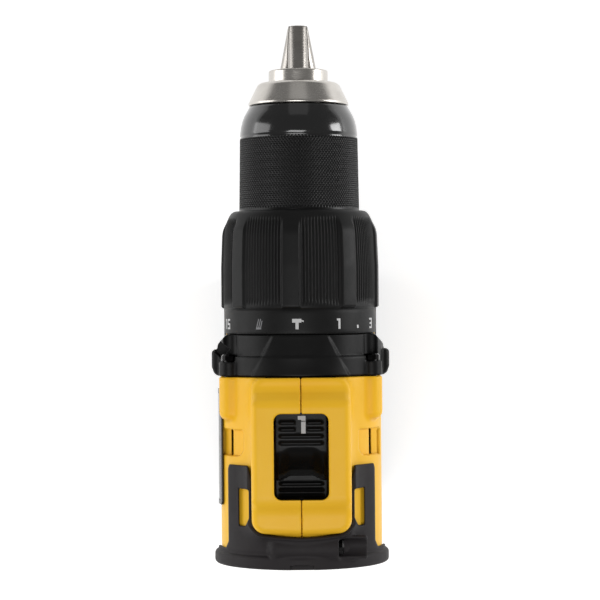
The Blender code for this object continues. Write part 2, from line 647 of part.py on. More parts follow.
# ================================================================ shells
def handle_sections(extra=0.0, steps=20):
    """Rounded sections down the handle; extra grows them outwards."""
    drop = HANDLE_TOP - FOOT_TOP
    half_depth = HANDLE_DEPTH / 2
    # share of the way down, centre x, half depth, half width
    table = ((-0.05, -14.0, half_depth + 5.0, HANDLE_HALF_WIDTH + 4.5),
             (0.10, -14.0, half_depth + 2.2, HANDLE_HALF_WIDTH + 1.8),
             (0.22, -15.0, half_depth + 0.6, HANDLE_HALF_WIDTH + 0.3),
             (0.38, -17.0, half_depth, HANDLE_HALF_WIDTH),
             (0.58, -19.8, half_depth + 0.4, HANDLE_HALF_WIDTH + 0.7),
             (0.76, -21.4, half_depth - 0.4, HANDLE_HALF_WIDTH),
             (0.88, -21.6, half_depth + 0.8, HANDLE_HALF_WIDTH + 1.0),
             (0.96, -20.6, half_depth + 3.6, HANDLE_HALF_WIDTH + 3.6),
             (1.06, -18.0, half_depth + 8.0, HANDLE_HALF_WIDTH + 8.0))
    power = 2 / 2.6
    sections = []
    for share, centre, depth, width in table:
        z = HANDLE_TOP - drop * share
        loop = []
        for i in range(steps):
            c, s = math.cos(math.tau * i / steps), math.sin(math.tau * i / steps)
            x = centre + (depth + extra) * math.copysign(abs(c) ** power, c)
            loop.append((x, (width + extra) * math.copysign(abs(s) ** power, s), z))
        sections.append(loop)
    return sections


def hump_outline(inset=0.0, cap=99.0):
    """Side view of the hump above the spindle axis, as (x, z)."""
    top, rear_top = HUMP_TOP - inset, HUMP_REAR_TOP - inset
    front = HOUSING_FRONT
    brow = BARREL_RADIUS + 2.4 - 0.55 * inset
    window_front = WINDOW_REAR + WINDOW_LENGTH
    rear_step = WINDOW_REAR - 0.8
    points = [(front - inset, 12.0), (front - inset, brow - 0.8), (window_front + 8.0 - inset, brow),
              (window_front + 3.7, top), (rear_step, top),
              (rear_step - 3.7, rear_top), (HUMP_REAR + 1.5 + inset, rear_top - 0.3),
              (HUMP_REAR + inset, rear_top - 2.2), (HUMP_REAR + inset, 12.0)]
    return [(x, AXIS_HEIGHT + min(z, cap)) for x, z in points]


def outer_body():
    """Barrel, hump, handle and foot as one solid, in the world frame."""
    rear, front, radius = HOUSING_REAR, HOUSING_FRONT, BARREL_RADIUS
    body = turned("shell", [(rear, 0), (rear, radius - 4.1), (rear + 1.5, radius - 1.3), (rear + 5.2, radius),
                            (front, radius), (front, 0)], centre=(0, AXIS_HEIGHT), segments=40)
    half = HUMP_HALF_WIDTH
    low_cap, cap = HUMP_TOP - 6.0, HUMP_TOP - 1.7
    stations = ((-half, low_cap), (-half + 1.2, cap), (-half + 3.7, 99.0), (half - 3.7, 99.0), (half - 1.2, cap),
                (half, low_cap))
    hump = lofted("hump", [[(x, y, z) for x, z in hump_outline(cap=limit)] for y, limit in stations])
    handle = lofted("handle", handle_sections())
    foot = block("foot", (FOOT_REAR, -FOOT_HALF_WIDTH, FOOT_BOTTOM), (FOOT_FRONT, FOOT_HALF_WIDTH, FOOT_TOP),
                 bevel=4.0, steps=2)
    plate = block("plate", (FOOT_REAR + 1, -FOOT_HALF_WIDTH + 1, FOOT_BOTTOM),
                  (FOOT_FRONT - 1, FOOT_HALF_WIDTH - 1, FOOT_BOTTOM + 6))
    rear_end = front - SHELL_LUG_LENGTH
    lugs = [rod("lug", (rear_end, y, AXIS_HEIGHT + z), (front, y, AXIS_HEIGHT + z), LUG_RADIUS, segments=16)
            for _, y, z in lug_positions()]
    return join(body, hump, handle, foot, plate, *lugs)


def hollow_out(body):
    """The room inside for the motor, gearcase, switch and terminals."""
    rear, front = HOUSING_REAR + WALL, HOUSING_FRONT
    cavity = turned("cavity", [(rear, 0), (rear, BARREL_BORE - 3.5), (rear + 3.5, BARREL_BORE),
                               (front + 1, BARREL_BORE), (front + 1, 0)], centre=(0, AXIS_HEIGHT), segments=40)
    room = lofted("hump_room", [[(x, y, z) for x, z in hump_outline(HUMP_WALL)]
                                for y in (-WINDOW_HALF_WIDTH - 2.4, WINDOW_HALF_WIDTH + 2.4)])
    inner = lofted("handle_room", handle_sections(-WALL))
    foot_room = block("foot_room", (FOOT_REAR + WALL, -FOOT_HALF_WIDTH + WALL, FOOT_BOTTOM + FOOT_PLATE),
                      (FOOT_FRONT - WALL, FOOT_HALF_WIDTH - WALL, FOOT_TOP - WALL), bevel=2.0)
    cut(body, cavity, room, inner, foot_room)
    for _, y, z in lug_positions():
        cut(body, rod("hole", (front - SHELL_LUG_LENGTH + 1, y, AXIS_HEIGHT + z), (front + 1, y, AXIS_HEIGHT + z),
                      SCREW_RADIUS + FIT, segments=12))
    seat = tube("bearing_seat", rear - 0.5, rear + 4.4, 8.0 + FIT, 10.6, segments=20)
    seat.data.transform(Matrix.Translation((0, 0, AXIS_HEIGHT * MM)))
    return join(body, seat)


def cut_openings(body):
    """Selector window, trigger mouth, direction lever slots, battery channel, lamp hole and air vents."""
    window = rounded_rectangle((WINDOW_REAR, -WINDOW_HALF_WIDTH),
                               (WINDOW_REAR + WINDOW_LENGTH, WINDOW_HALF_WIDTH), WINDOW_CORNER)
    cut(body, prism("window", window, AXIS_HEIGHT + SELECTOR_TOP - 3, AXIS_HEIGHT + HUMP_TOP + 4, "Z"))
    cut(body, block("trigger_mouth", (-8.0, -TRIGGER_HALF_WIDTH - RUN, TRIGGER_BOTTOM - RUN),
                    (TRIGGER_FRONT, TRIGGER_HALF_WIDTH + RUN, TRIGGER_BOTTOM + TRIGGER_HEIGHT + RUN)))
    low = (LEVER_X - LEVER_DEPTH / 2 - RUN, -60, LEVER_Z - LEVER_HEIGHT / 2 - RUN)
    high = (LEVER_X + LEVER_DEPTH / 2 + RUN, 60, LEVER_Z + LEVER_HEIGHT / 2 + RUN)
    cut(body, block("lever_slot", low, high))
    channel_top = PACK_TOP + TOWER_HEIGHT + RUN
    head, neck = TOWER_HALF_WIDTH + RUN, TOWER_NECK + RUN
    plate_top = FOOT_BOTTOM + FOOT_PLATE
    outline = [(-neck, FOOT_BOTTOM - 2), (neck, FOOT_BOTTOM - 2), (neck, plate_top), (head, plate_top),
               (head, channel_top), (-head, channel_top), (-head, plate_top), (-neck, plate_top)]
    cut(body, prism("channel", outline, TOWER_REAR - 2.0, FOOT_FRONT + 6))
    wide = LATCH_HALF_WIDTH + 1
    cut(body, block("latch_groove", (TOWER_FRONT - 6.0, -wide, FOOT_BOTTOM - 1),
                    (FOOT_FRONT + 1, wide, FOOT_BOTTOM + FOOT_PLATE + 1)))
    cut(body, rod("lamp_hole", (25, 0, FOOT_TOP - 6), (25, 0, FOOT_TOP + 6), 4.6, segments=16))
    for turn in (57.0, 76.0, 90.0, 104.0):
        for side in (-1, 1):
            y, z = polar(BARREL_RADIUS, turn * side)
            slit = block("vent", (-16.8, -0.8, -4.0), (-7.6, 0.8, 4.0))
            slit.data.transform(Matrix.Translation((0, y * MM, (AXIS_HEIGHT + z) * MM))
                                @ Matrix.Rotation(-math.radians(turn * side), 4, "X"))
            if turn != 90.0 or side < 0:
                cut(body, slit)
            else:
                bpy.data.objects.remove(slit)
    return body


def screw_places():
    """(x, z, head y, tip y, right end y, left end y, post radius) of the screws that hold the shells together."""
    return ((TOP_BOSS_X, AXIS_HEIGHT + TOP_BOSS_Z, TOP_BOSS_RIGHT, 8.0, TOP_BOSS_RIGHT + 0.4, TOP_BOSS_LEFT - 1.4, 3.2),
            (HOUSING_REAR + 5.0, AXIS_HEIGHT - BARREL_BORE + 6.0, -9.0, 8.0, -14.0, 14.0, 3.8),
            (-27.5, TRIGGER_BOTTOM + TRIGGER_HEIGHT + 1.0, -9.0, 8.5, -11.5, 11.5, POST_RADIUS),
            (-32.5, FOOT_TOP + 10.0, -8.0, 8.5, -11.8, 11.8, POST_RADIUS),
            (FOOT_REAR + 6.0, FOOT_TOP - 7.0, -12.0, 8.0, 1.6 - FOOT_HALF_WIDTH, FOOT_HALF_WIDTH - 1.6, POST_RADIUS - 0.4))


def add_screw_bosses(body):
    """Posts across the shells for the screws, then their holes and counterbores."""
    for x, z, head, tip, right, left, radius in screw_places():
        join(body, rod("post", (x, right, z), (x, left, z), radius, segments=16))
        cut(body, rod("hole", (x, head - 0.5, z), (x, tip + 1, z), SCREW_RADIUS + FIT, segments=12))
        cut(body, rod("mouth", (x, head - 40, z), (x, head + 0.1, z), HEAD_RADIUS + FIT, segments=12))
    return body


def half(body, name, side, finish):
    """The part of a solid on one side of the parting plane."""
    far = 80.0
    low, high = ((-200, SEAM, -20), (200, far, 300)) if side > 0 else ((-200, -far, -20), (200, -SEAM, 300))
    piece = copy_of(body, name)
    keep_inside(piece, block("side", low, high))
    return finished(piece, finish)


def split(body, left, right, finish):
    half(body, left, 1, finish)
    half(body, right, -1, finish)
    bpy.data.objects.remove(body)


def make_shells():
    body = add_screw_bosses(cut_openings(hollow_out(outer_body())))
    split(body, "shell_left", "shell_right", "yellow_shell")


def make_bumper():
    """Soft cap over the barrel's rear, with an arm forward on each side of the hump."""
    rear, outside = HOUSING_REAR, BARREL_RADIUS + FIT + BUMPER_THICKNESS
    inside = BARREL_RADIUS + FIT
    back = rear - FIT - BUMPER_BACK
    bumper = turned("bumper", [
        (back, 0), (back, RIM_RADIUS - 1.4), (back + 1.2, RIM_RADIUS), (back + RIM_LENGTH, RIM_RADIUS),
        (back + RIM_LENGTH + 0.8, outside), (ARM_FRONT, outside), (ARM_FRONT, 0)],
        centre=(0, AXIS_HEIGHT), segments=40)
    x, z = TOP_BOSS_X, AXIS_HEIGHT + TOP_BOSS_Z
    join(bumper, rod("bulge", (x, TOP_BOSS_RIGHT, z), (x, TOP_BOSS_LEFT, z), TOP_BOSS_RADIUS, segments=20))
    cut(bumper, turned("barrel_space", [
        (rear - FIT, 0), (rear - FIT, inside - 4.1), (rear + 1.2, inside - 1.3), (rear + 5.0, inside),
        (ARM_FRONT + 3, inside), (ARM_FRONT + 3, 0)], centre=(0, AXIS_HEIGHT), segments=40))
    cut(bumper, rod("post_space", (x, -40, z), (x, TOP_BOSS_LEFT - 1.1, z), 3.2 + FIT, segments=16))
    low, high = inside - 9, outside + 9
    top = prism("top", sector(low, high, -ARM_INNER, ARM_INNER, 4), BUMPER_FRONT, ARM_FRONT + 2)
    below = prism("below", sector(low, high, ARM_OUTER, 360 - ARM_OUTER, 12), BUMPER_FRONT, ARM_FRONT + 2)
    tools = [top, below]
    for side in (-1, 1):
        tools.append(prism("notch", sector(low, high, side * ARM_OUTER, side * 112, 4), back + RIM_LENGTH,
                           BUMPER_FRONT + 2))
        tools.append(prism("slot", sector(low, high, side * 42.0, side * 51.0, 3), -40.6, -27.8))
    for tool in tools:
        tool.data.transform(Matrix.Translation((0, 0, AXIS_HEIGHT * MM)))
    cut(bumper, *tools)
    split(bumper, "bumper_left", "bumper_right", "black_rubber")


def make_grip():
    """Soft cover round the handle, open at the front above the fingers."""
    grip = lofted("grip", handle_sections(FIT + GRIP_THICKNESS))
    cut(grip, lofted("core", handle_sections(FIT)))
    top = TRIGGER_BOTTOM + TRIGGER_HEIGHT
    side_view = [(-60, FOOT_TOP + 5), (30, FOOT_TOP + 5), (30, TRIGGER_BOTTOM - 8), (-14, TRIGGER_BOTTOM - 4),
                 (-22, top), (-60, top + 3)]
    keep_inside(grip, prism("region", side_view, -60, 60, "Y"))
    for place in screw_places()[2:4]:
        x, z, head = place[:3]
        cut(grip, rod("access", (x, head - 40, z), (x, head, z), HEAD_RADIUS + 2 * FIT, segments=12))
    split(grip, "grip_left", "grip_right", "black_rubber")


def make_shell_screws():
    for number, place in enumerate(screw_places(), 1):
        x, z, head, tip = place[:4]
        screw = turned(f"shell_screw_{number}", [
            (head - 2.0, 0), (head - 2.0, HEAD_RADIUS - 0.6), (head - 1.4, HEAD_RADIUS), (head - 0.2, HEAD_RADIUS),
            (head - 0.2, SCREW_RADIUS), (tip, SCREW_RADIUS), (tip, 0)], segments=12)
        screw.data.transform(Matrix.Rotation(math.pi / 2, 4, "Z"))
        screw.location = (x * MM, 0, z * MM)
        finished(screw, "dark_steel")


def make_controls(line):
    """Speed selector, trigger with its switch, direction lever, lamp and terminals."""
    rear = WINDOW_REAR - SELECTOR_TRAVEL - 0.6
    front = WINDOW_REAR + WINDOW_LENGTH + 0.8
    wide = WINDOW_HALF_WIDTH - RUN
    top = SELECTOR_TOP
    selector = block("speed_selector", (rear, -wide, top - SELECTOR_THICKNESS), (front, wide, top))
    thumb = WINDOW_REAR + 8.4
    crest = HUMP_TOP
    side_view = [(thumb - 2.6, top - 0.6), (thumb + 9.6, top - 0.6), (thumb + 3.0, crest - 2.6), (thumb + 1.0, crest),
                 (thumb - 1.0, crest), (thumb - 2.6, crest - 3.6)]
    join(selector, prism("thumb", side_view, -wide + 1.2, wide - 1.2, "Y"))
    peg = block("peg", (thumb - 1, -2, STATOR_RADIUS + 0.6), (thumb + 3, 2, top - 0.5))
    join(selector, peg)
    on_line(finished(selector, "black_plastic"), line)

    low, high = TRIGGER_BOTTOM, TRIGGER_BOTTOM + TRIGGER_HEIGHT
    face = TRIGGER_FRONT
    side_view = [(-1.0, low), (face - 6.0, low), (face - 4.0, low + 2), (face - 2.6, low + 8), (face - 2.2, low + 13),
                 (face, high - 3), (face - 0.6, high), (-1.0, high)]
    trigger = prism("trigger", side_view, -TRIGGER_HALF_WIDTH, TRIGGER_HALF_WIDTH, "Y")
    finished(pivot_at(trigger, (0, 0, (low + high) / 2)), "black_plastic")
    switch = block("switch_module", (-27.0, -9.0, FOOT_TOP + 38), (-1.0 - TRIGGER_TRAVEL - RUN, 9.0, high + 2), bevel=1.0)
    join(switch, block("electronics", (-31.0, -9.0, FOOT_TOP + 17), (-12.0, 9.0, FOOT_TOP + 39), bevel=1.0))
    cut(switch, rod("post_room", (-27.5, -20, high + 1.0), (-27.5, 20, high + 1.0), POST_RADIUS + 0.6, segments=16))
    finished(switch, "black_plastic")

    half_span = HANDLE_HALF_WIDTH + 7.0
    low = (LEVER_X - LEVER_DEPTH / 2, -half_span, LEVER_Z - LEVER_HEIGHT / 2)
    high_corner = (LEVER_X + LEVER_DEPTH / 2, half_span, LEVER_Z + LEVER_HEIGHT / 2)
    lever = block("direction_lever", low, high_corner, bevel=0.8)
    finished(pivot_at(lever, (LEVER_X, 0, LEVER_Z)), "black_plastic")

    lens = turned("lamp_lens", [(0, 0), (0, 5.6), (1.2, 5.6), (1.2, 4.3), (4.4, 4.3), (5.0, 3.4), (5.0, 0)], segments=20)
    lens.data.transform(Matrix.Rotation(-math.pi / 2, 4, "Y"))
    lens.location = (25 * MM, 0, (FOOT_TOP - WALL - 1.2 - FIT) * MM)
    finished(lens, "clear_lens")

    base = PACK_TOP + TOWER_HEIGHT + 2 * RUN
    terminals = block("tool_terminals", (TOWER_REAR + 2, -15, base), (TOWER_REAR + 24, 15, base + 4.0))
    for y in (-10.5, -3.5, 3.5, 10.5):
        join(terminals, block("blade", (TOWER_REAR + 4, y - 0.5, base - 4.2), (TOWER_REAR + 20, y + 0.5, base + 1)))
    finished(terminals, "black_plastic")


def make_nameplate():
    plate = prism("nameplate", sector(BARREL_RADIUS + FIT, BARREL_RADIUS + FIT + 0.8, 72, 108, 8), -34.2, 6.8)
    plate.data.transform(Matrix.Translation((0, 0, AXIS_HEIGHT * MM)))
    finished(plate, "black_plastic")


# ================================================================ battery pack
def make_pack():
    """Tray, lid with the slide-on tower, five cells, latch and charge button."""
    rear, front = -PACK_LENGTH / 2, PACK_LENGTH / 2
    wide, wall = PACK_HALF_WIDTH, PACK_WALL
    tray = block("pack_tray", (rear, -wide, 0), (front, wide, PACK_SPLIT * 2), bevel=4.0, steps=2)
    cut(tray, block("above", (rear - 9, -wide - 9, PACK_SPLIT), (front + 9, wide + 9, 99)),
        block("inside", (rear + wall, -wide + wall, wall), (front - wall, wide - wall, 99), bevel=1.0))
    finished(tray, "black_plastic")

    lid_low = PACK_SPLIT + FIT
    lid = block("pack_lid", (rear, -wide, lid_low - 20), (front, wide, PACK_TOP), bevel=3.0, steps=2)
    cut(lid, block("below", (rear - 9, -wide - 9, -9), (front + 9, wide + 9, lid_low)),
        block("inside", (rear + wall, -wide + wall, -9), (front - wall, wide - wall, PACK_TOP - wall), bevel=1.0))
    head, neck = TOWER_HALF_WIDTH, TOWER_NECK
    step = FOOT_BOTTOM + FOOT_PLATE + RUN
    top = PACK_TOP + TOWER_HEIGHT
    outline = [(-neck, PACK_TOP - 1), (neck, PACK_TOP - 1), (neck, step), (head, step), (head, top), (-head, top),
               (-head, step), (-neck, step)]
    join(lid, prism("tower", outline, TOWER_REAR, TOWER_FRONT - 8))
    for y in (-10.5, -3.5, 3.5, 10.5):
        cut(lid, block("contact_slot", (TOWER_REAR - 2, y - 1.2, top - 5.2), (TOWER_REAR + 24, y + 1.2, top + 2)))
    latch_rear, latch_low = TOWER_FRONT - 7.4, PACK_TOP - 16.0
    cut(lid, block("latch_pocket", (latch_rear - RUN, -LATCH_HALF_WIDTH - RUN, latch_low - LATCH_TRAVEL - RUN),
                   (front + 5, LATCH_HALF_WIDTH + RUN, PACK_TOP + 3)))
    cut(lid, rod("button_hole", (rear - 2, 0, 33), (rear + 6, 0, 33), 4.0 + RUN, segments=16))
    finished(lid, "black_plastic")

    latch = block("pack_latch", (front - 3.2, -LATCH_HALF_WIDTH, latch_low), (front + 0.6, LATCH_HALF_WIDTH, PACK_TOP - 0.6),
                  bevel=0.6)
    join(latch, block("arm", (latch_rear, -LATCH_HALF_WIDTH, PACK_TOP - 5), (front - 2, LATCH_HALF_WIDTH, PACK_TOP - 1)),
         block("tooth", (TOWER_FRONT - 5.5, -LATCH_HALF_WIDTH, PACK_TOP - 2), (TOWER_FRONT - 1.5, LATCH_HALF_WIDTH,
                                                                             PACK_TOP + 2.0)))
    finished(pivot_at(latch, (front, 0, PACK_TOP)), "black_plastic")
    button = turned("charge_button", [(rear - 0.6, 0), (rear - 0.6, 3.4), (rear, 4.0), (rear + 3.4, 4.0), (rear + 3.4, 0)],
                    segments=16, centre=(0, 33))
    finished(button, "black_rubber")

    pitch = 2 * CELL_RADIUS + CELL_GAP
    low = wall + CELL_RADIUS + 1.0
    high = low + pitch * math.sin(math.radians(60))
    cell_rear = rear + wall + 5.0
    places = [(-pitch, low), (0, low), (pitch, low), (-pitch / 2, high), (pitch / 2, high)]
    for number, (y, z) in enumerate(places, 1):
        tip = cell_rear + CELL_LENGTH
        cell = turned(f"cell_{number}", [(cell_rear, 0), (cell_rear, CELL_RADIUS), (tip - 1, CELL_RADIUS),
                                         (tip - 1, 3.0), (tip, 3.0), (tip, 0)], segments=20, centre=(y, z))
        finished(cell, "cell_wrap")


# ================================================================ assembly
def on_line(obj, line):
    """Hangs a piece that was made about the X axis on the spindle line."""
    obj.parent = line
    return obj


def tube_on_line(name, rear, front, bore, radius, finish, line, segments):
    on_line(finished(tube(name, rear, front, bore, radius, finish, segments), finish), line)


def main():
    clear_scene()
    line = bpy.data.objects.new("spindle_line", None)
    line.location = (0, 0, AXIS_HEIGHT * MM)
    bpy.context.scene.collection.objects.link(line)
    make_shells()
    make_bumper()
    make_grip()
    make_shell_screws()
    make_nameplate()
    make_motor(line)
    make_gear_train(line)
    make_gearcase(line)
    make_collar(line)
    make_spindle_and_chuck(line)
    make_controls(line)
    make_pack()


main()
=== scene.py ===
# %% [markdown]
# # A cordless hammer drill, built in layers
# The drill stands on its battery pack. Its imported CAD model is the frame: it says where each piece sits and
# what each moving group is called. Every cell below adds one visible piece or one finish over that frame.
# Lengths are in millimetres, with +X along the spindle to the chuck, +Y to the tool's left and +Z up.

# %% The frame and its box
import math

import bpy
import numpy as np
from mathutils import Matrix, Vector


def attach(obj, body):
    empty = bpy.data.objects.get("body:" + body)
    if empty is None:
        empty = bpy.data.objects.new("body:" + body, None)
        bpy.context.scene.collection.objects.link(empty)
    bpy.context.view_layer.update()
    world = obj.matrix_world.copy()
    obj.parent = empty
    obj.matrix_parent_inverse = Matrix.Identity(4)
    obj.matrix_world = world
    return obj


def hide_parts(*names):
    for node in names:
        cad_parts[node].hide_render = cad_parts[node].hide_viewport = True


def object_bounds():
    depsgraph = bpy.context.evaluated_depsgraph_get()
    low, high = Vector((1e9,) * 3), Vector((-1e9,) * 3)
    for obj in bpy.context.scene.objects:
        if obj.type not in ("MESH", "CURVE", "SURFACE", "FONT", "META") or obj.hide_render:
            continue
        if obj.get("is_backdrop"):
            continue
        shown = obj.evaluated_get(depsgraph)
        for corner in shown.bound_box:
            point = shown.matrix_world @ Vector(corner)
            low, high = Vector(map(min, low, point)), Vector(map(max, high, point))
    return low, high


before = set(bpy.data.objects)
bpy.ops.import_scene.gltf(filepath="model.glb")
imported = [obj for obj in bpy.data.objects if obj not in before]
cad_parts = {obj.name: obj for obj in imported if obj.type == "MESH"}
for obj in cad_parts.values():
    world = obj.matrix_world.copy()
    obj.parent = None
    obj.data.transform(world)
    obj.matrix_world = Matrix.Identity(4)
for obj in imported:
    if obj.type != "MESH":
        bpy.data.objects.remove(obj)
cad_box = [[float(value) for value in corner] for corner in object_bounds()]
MM = 0.001
AXIS = 162.0                 # height of the spindle axis
print("CAD box in mm:", [[round(value / MM, 1) for value in corner] for corner in cad_box])

# %% [markdown]
# ## From numbers to a mesh
# Every new piece is an array of points and an array of faces that numpy works out. One function turns them
# into a mesh, gives it a finish, lets it ride on a body of the frame, and hides the CAD nodes it stands for.


# %% One function that makes a piece
def make_piece(name, points, faces, finish, body, nodes=(), normals=None, sharp=40):
    """Points in mm (n, 3) and faces (m, 4) or (m, 3) become an object that sits at the origin."""
    mesh = bpy.data.meshes.new(name)
    faces = np.asarray(faces, np.int32)
    mesh.vertices.add(len(points))
    mesh.vertices.foreach_set("co", (np.asarray(points) * MM).astype(np.float32).ravel())
    mesh.loops.add(faces.size)
    mesh.loops.foreach_set("vertex_index", faces.ravel())
    mesh.polygons.add(len(faces))
    mesh.polygons.foreach_set("loop_start", np.arange(0, faces.size, faces.shape[1], dtype=np.int32))
    mesh.update(calc_edges=True)
    mesh.validate()
    mesh.shade_smooth()
    if normals is None:
        mesh.set_sharp_from_angle(angle=math.radians(sharp))
    elif len(mesh.vertices) == len(normals):
        mesh.normals_split_custom_set_from_vertices(np.asarray(normals).tolist())
    mesh.materials.append(finish)
    obj = bpy.data.objects.new(name, mesh)
    bpy.context.scene.collection.objects.link(obj)
    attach(obj, body)
    if nodes:
        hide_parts(*nodes)
    print(f"{name}: {len(points)} points, {len(faces)} faces, rides on {body}")
    return obj


# %% [markdown]
# ## Grids
# A surface with two parameters is a grid of points. Its faces follow from the row and column numbers alone,
# so one function gives them for every grid. A grid that closes round an axis joins its last column to its
# first. A turned part is closed by joining its last row to its first, so that it needs no end caps.


# %% Faces of a grid, and a surface round the spindle
def grid_faces(rows, columns, wrap=True):
    """Quads between neighbouring rows and columns; wrap joins the last column to the first."""
    across = columns if wrap else columns - 1
    row, column = np.meshgrid(np.arange(rows - 1), np.arange(across), indexing="ij")
    beside = (column + 1) % columns
    corners = (row * columns + column, row * columns + beside, (row + 1) * columns + beside,
               (row + 1) * columns + column)
    return np.stack(corners, -1).reshape(-1, 4)


def closed_ring(station, radius):
    """A ring-shaped skin: row i is the circle-like loop at station[i] with radius[i, j], and the last row
    joins the first, so a profile that goes out along the outside and back along the bore is closed."""
    rows, columns = radius.shape
    angle = np.linspace(0, math.tau, columns, endpoint=False)
    along = np.broadcast_to(np.asarray(station, float).reshape(rows, -1), radius.shape)
    points = np.stack((along, radius * np.sin(angle), AXIS + radius * np.cos(angle)), -1).reshape(-1, 3)
    faces = grid_faces(rows, columns)
    last = (rows - 1) * columns
    here = np.arange(columns)
    beside = (here + 1) % columns
    bridge = np.stack((last + here, last + beside, beside, here), -1)
    return points, np.vstack((faces, bridge))


def turned(profile, columns=128):
    """A closed profile of (x, radius) pairs swept round the spindle axis."""
    profile = np.asarray(profile, float)
    return closed_ring(profile[:, 0], np.repeat(profile[:, 1:], columns, 1))


def rounded_profile(corners, steps=5):
    """A closed profile whose corners (x, radius, fillet) are rounded: each corner becomes a short curve,
    the quadratic one whose ends lie fillet away along the two sides."""
    corners = np.asarray(corners, float)
    here, fillet = corners[:, :2], corners[:, 2:3]
    before, after = np.roll(here, 1, 0) - here, np.roll(here, -1, 0) - here
    start = here + before / np.linalg.norm(before, axis=1, keepdims=True) * fillet
    end = here + after / np.linalg.norm(after, axis=1, keepdims=True) * fillet
    t = np.linspace(0, 1, steps)[None, :, None]
    curve = (1 - t) ** 2 * start[:, None] + 2 * t * (1 - t) * here[:, None] + t ** 2 * end[:, None]
    keep = [curve[i] if fillet[i, 0] > 0 else here[i:i + 1] for i in range(len(corners))]
    return np.vstack(keep)


# %% [markdown]
# ## Skins from a field
# The housing is a barrel, a hump, a handle and a foot that flow into each other, with openings cut through
# them. No single grid wraps that shape. It is written as a field instead: a number at each point of space
# that is the distance to the surface, below zero inside. Shapes are joined by taking the smaller number and
# cut by taking the larger, with a rounded step between the two for each fillet. The skin is where the field
# is zero. A coarse grid of cells finds it, each cell that it crosses gives one point, and a few Newton steps
# (move along the slope by value over slope) put the points exactly on it. The slope is also the true normal.


# %% Fields: join, cut and round
def meet(a, b, r=0.0):
    """Where both hold (the larger of two distances), with the edge between them rounded to radius r."""
    if not r:
        return np.maximum(a, b)
    return np.minimum(np.maximum(a, b), -r) + np.hypot(np.maximum(a + r, 0), np.maximum(b + r, 0))


def join(a, b, r=0.0):
    """Where either holds (the smaller of two distances), with a fillet of radius r in the corner."""
    if not r:
        return np.minimum(a, b)
    return np.maximum(np.minimum(a, b), r) - np.hypot(np.maximum(r - a, 0), np.maximum(r - b, 0))


def cut(a, b, r=0.0):
    """Where a holds and b does not: the larger of a and minus b, its edge rounded to radius r."""
    return meet(a, -b, r)


def slab(x, low, high):
    """Distance to the layer between two parallel planes."""
    return np.abs(x - (low + high) / 2) - (high - low) / 2


def plate(x, y, low, high, r):
    """Distance to a rectangle with rounded corners, seen along the third axis."""
    a, b = slab(x, low[0] + r, high[0] - r), slab(y, low[1] + r, high[1] - r)
    return np.hypot(np.maximum(a, 0), np.maximum(b, 0)) + np.minimum(np.maximum(a, b), 0) - r


def rod(a, b, along, centre, radius, ends, r=0.0):
    """Distance to a round bar: a circle of a and b about centre, between two ends along the third axis."""
    return meet(np.hypot(a - centre[0], b - centre[1]) - radius, slab(along, *ends), r)


def slope_plane(a, b, first, second):
    """Distance above the line from first to second, positive to its left."""
    run, rise = second[0] - first[0], second[1] - first[1]
    return ((b - first[1]) * run - (a - first[0]) * rise) / math.hypot(run, rise)


# %% The skin of a field
def field_slope(field, p, step=0.02):
    """Central differences of the field at points p (n, 3)."""
    out = np.empty_like(p)
    for k in range(3):
        q = p.copy()
        q[:, k] += step
        high = field(q[:, 0], q[:, 1], q[:, 2])
        q[:, k] -= 2 * step
        out[:, k] = (high - field(q[:, 0], q[:, 1], q[:, 2])) / (2 * step)
    return out


def sampled(field, xs, ys, zs, block=8):
    """The field on the grid. Blocks whose centre is further from the surface than their own half diagonal
    can't hold any of it, so they take the centre's number and are not worked out point by point."""
    starts = [np.arange(0, len(line), block) for line in (xs, ys, zs)]
    lows = [line[start] for line, start in zip((xs, ys, zs), starts)]
    highs = [line[np.minimum(start + block, len(line) - 1)] for line, start in zip((xs, ys, zs), starts)]
    middle = [(low + high) / 2 for low, high in zip(lows, highs)]
    half = [np.abs(high - low) / 2 for low, high in zip(lows, highs)]
    far = np.sqrt(half[0][:, None, None] ** 2 + half[1][None, :, None] ** 2 + half[2][None, None, :] ** 2)
    coarse = np.broadcast_to(field(middle[0][:, None, None], middle[1][None, :, None],
                                   middle[2][None, None, :]),
                             far.shape)
    value = np.empty((len(xs), len(ys), len(zs)), np.float32)
    for i, j, k in np.ndindex(far.shape):
        part = tuple(slice(start[n], start[n] + block) for start, n in zip(starts, (i, j, k)))
        if abs(coarse[i, j, k]) > 1.5 * far[i, j, k] + 0.5:
            value[part] = coarse[i, j, k]
        else:
            value[part] = field(xs[part[0], None, None], ys[None, part[1], None], zs[None, None, part[2]])
    return value


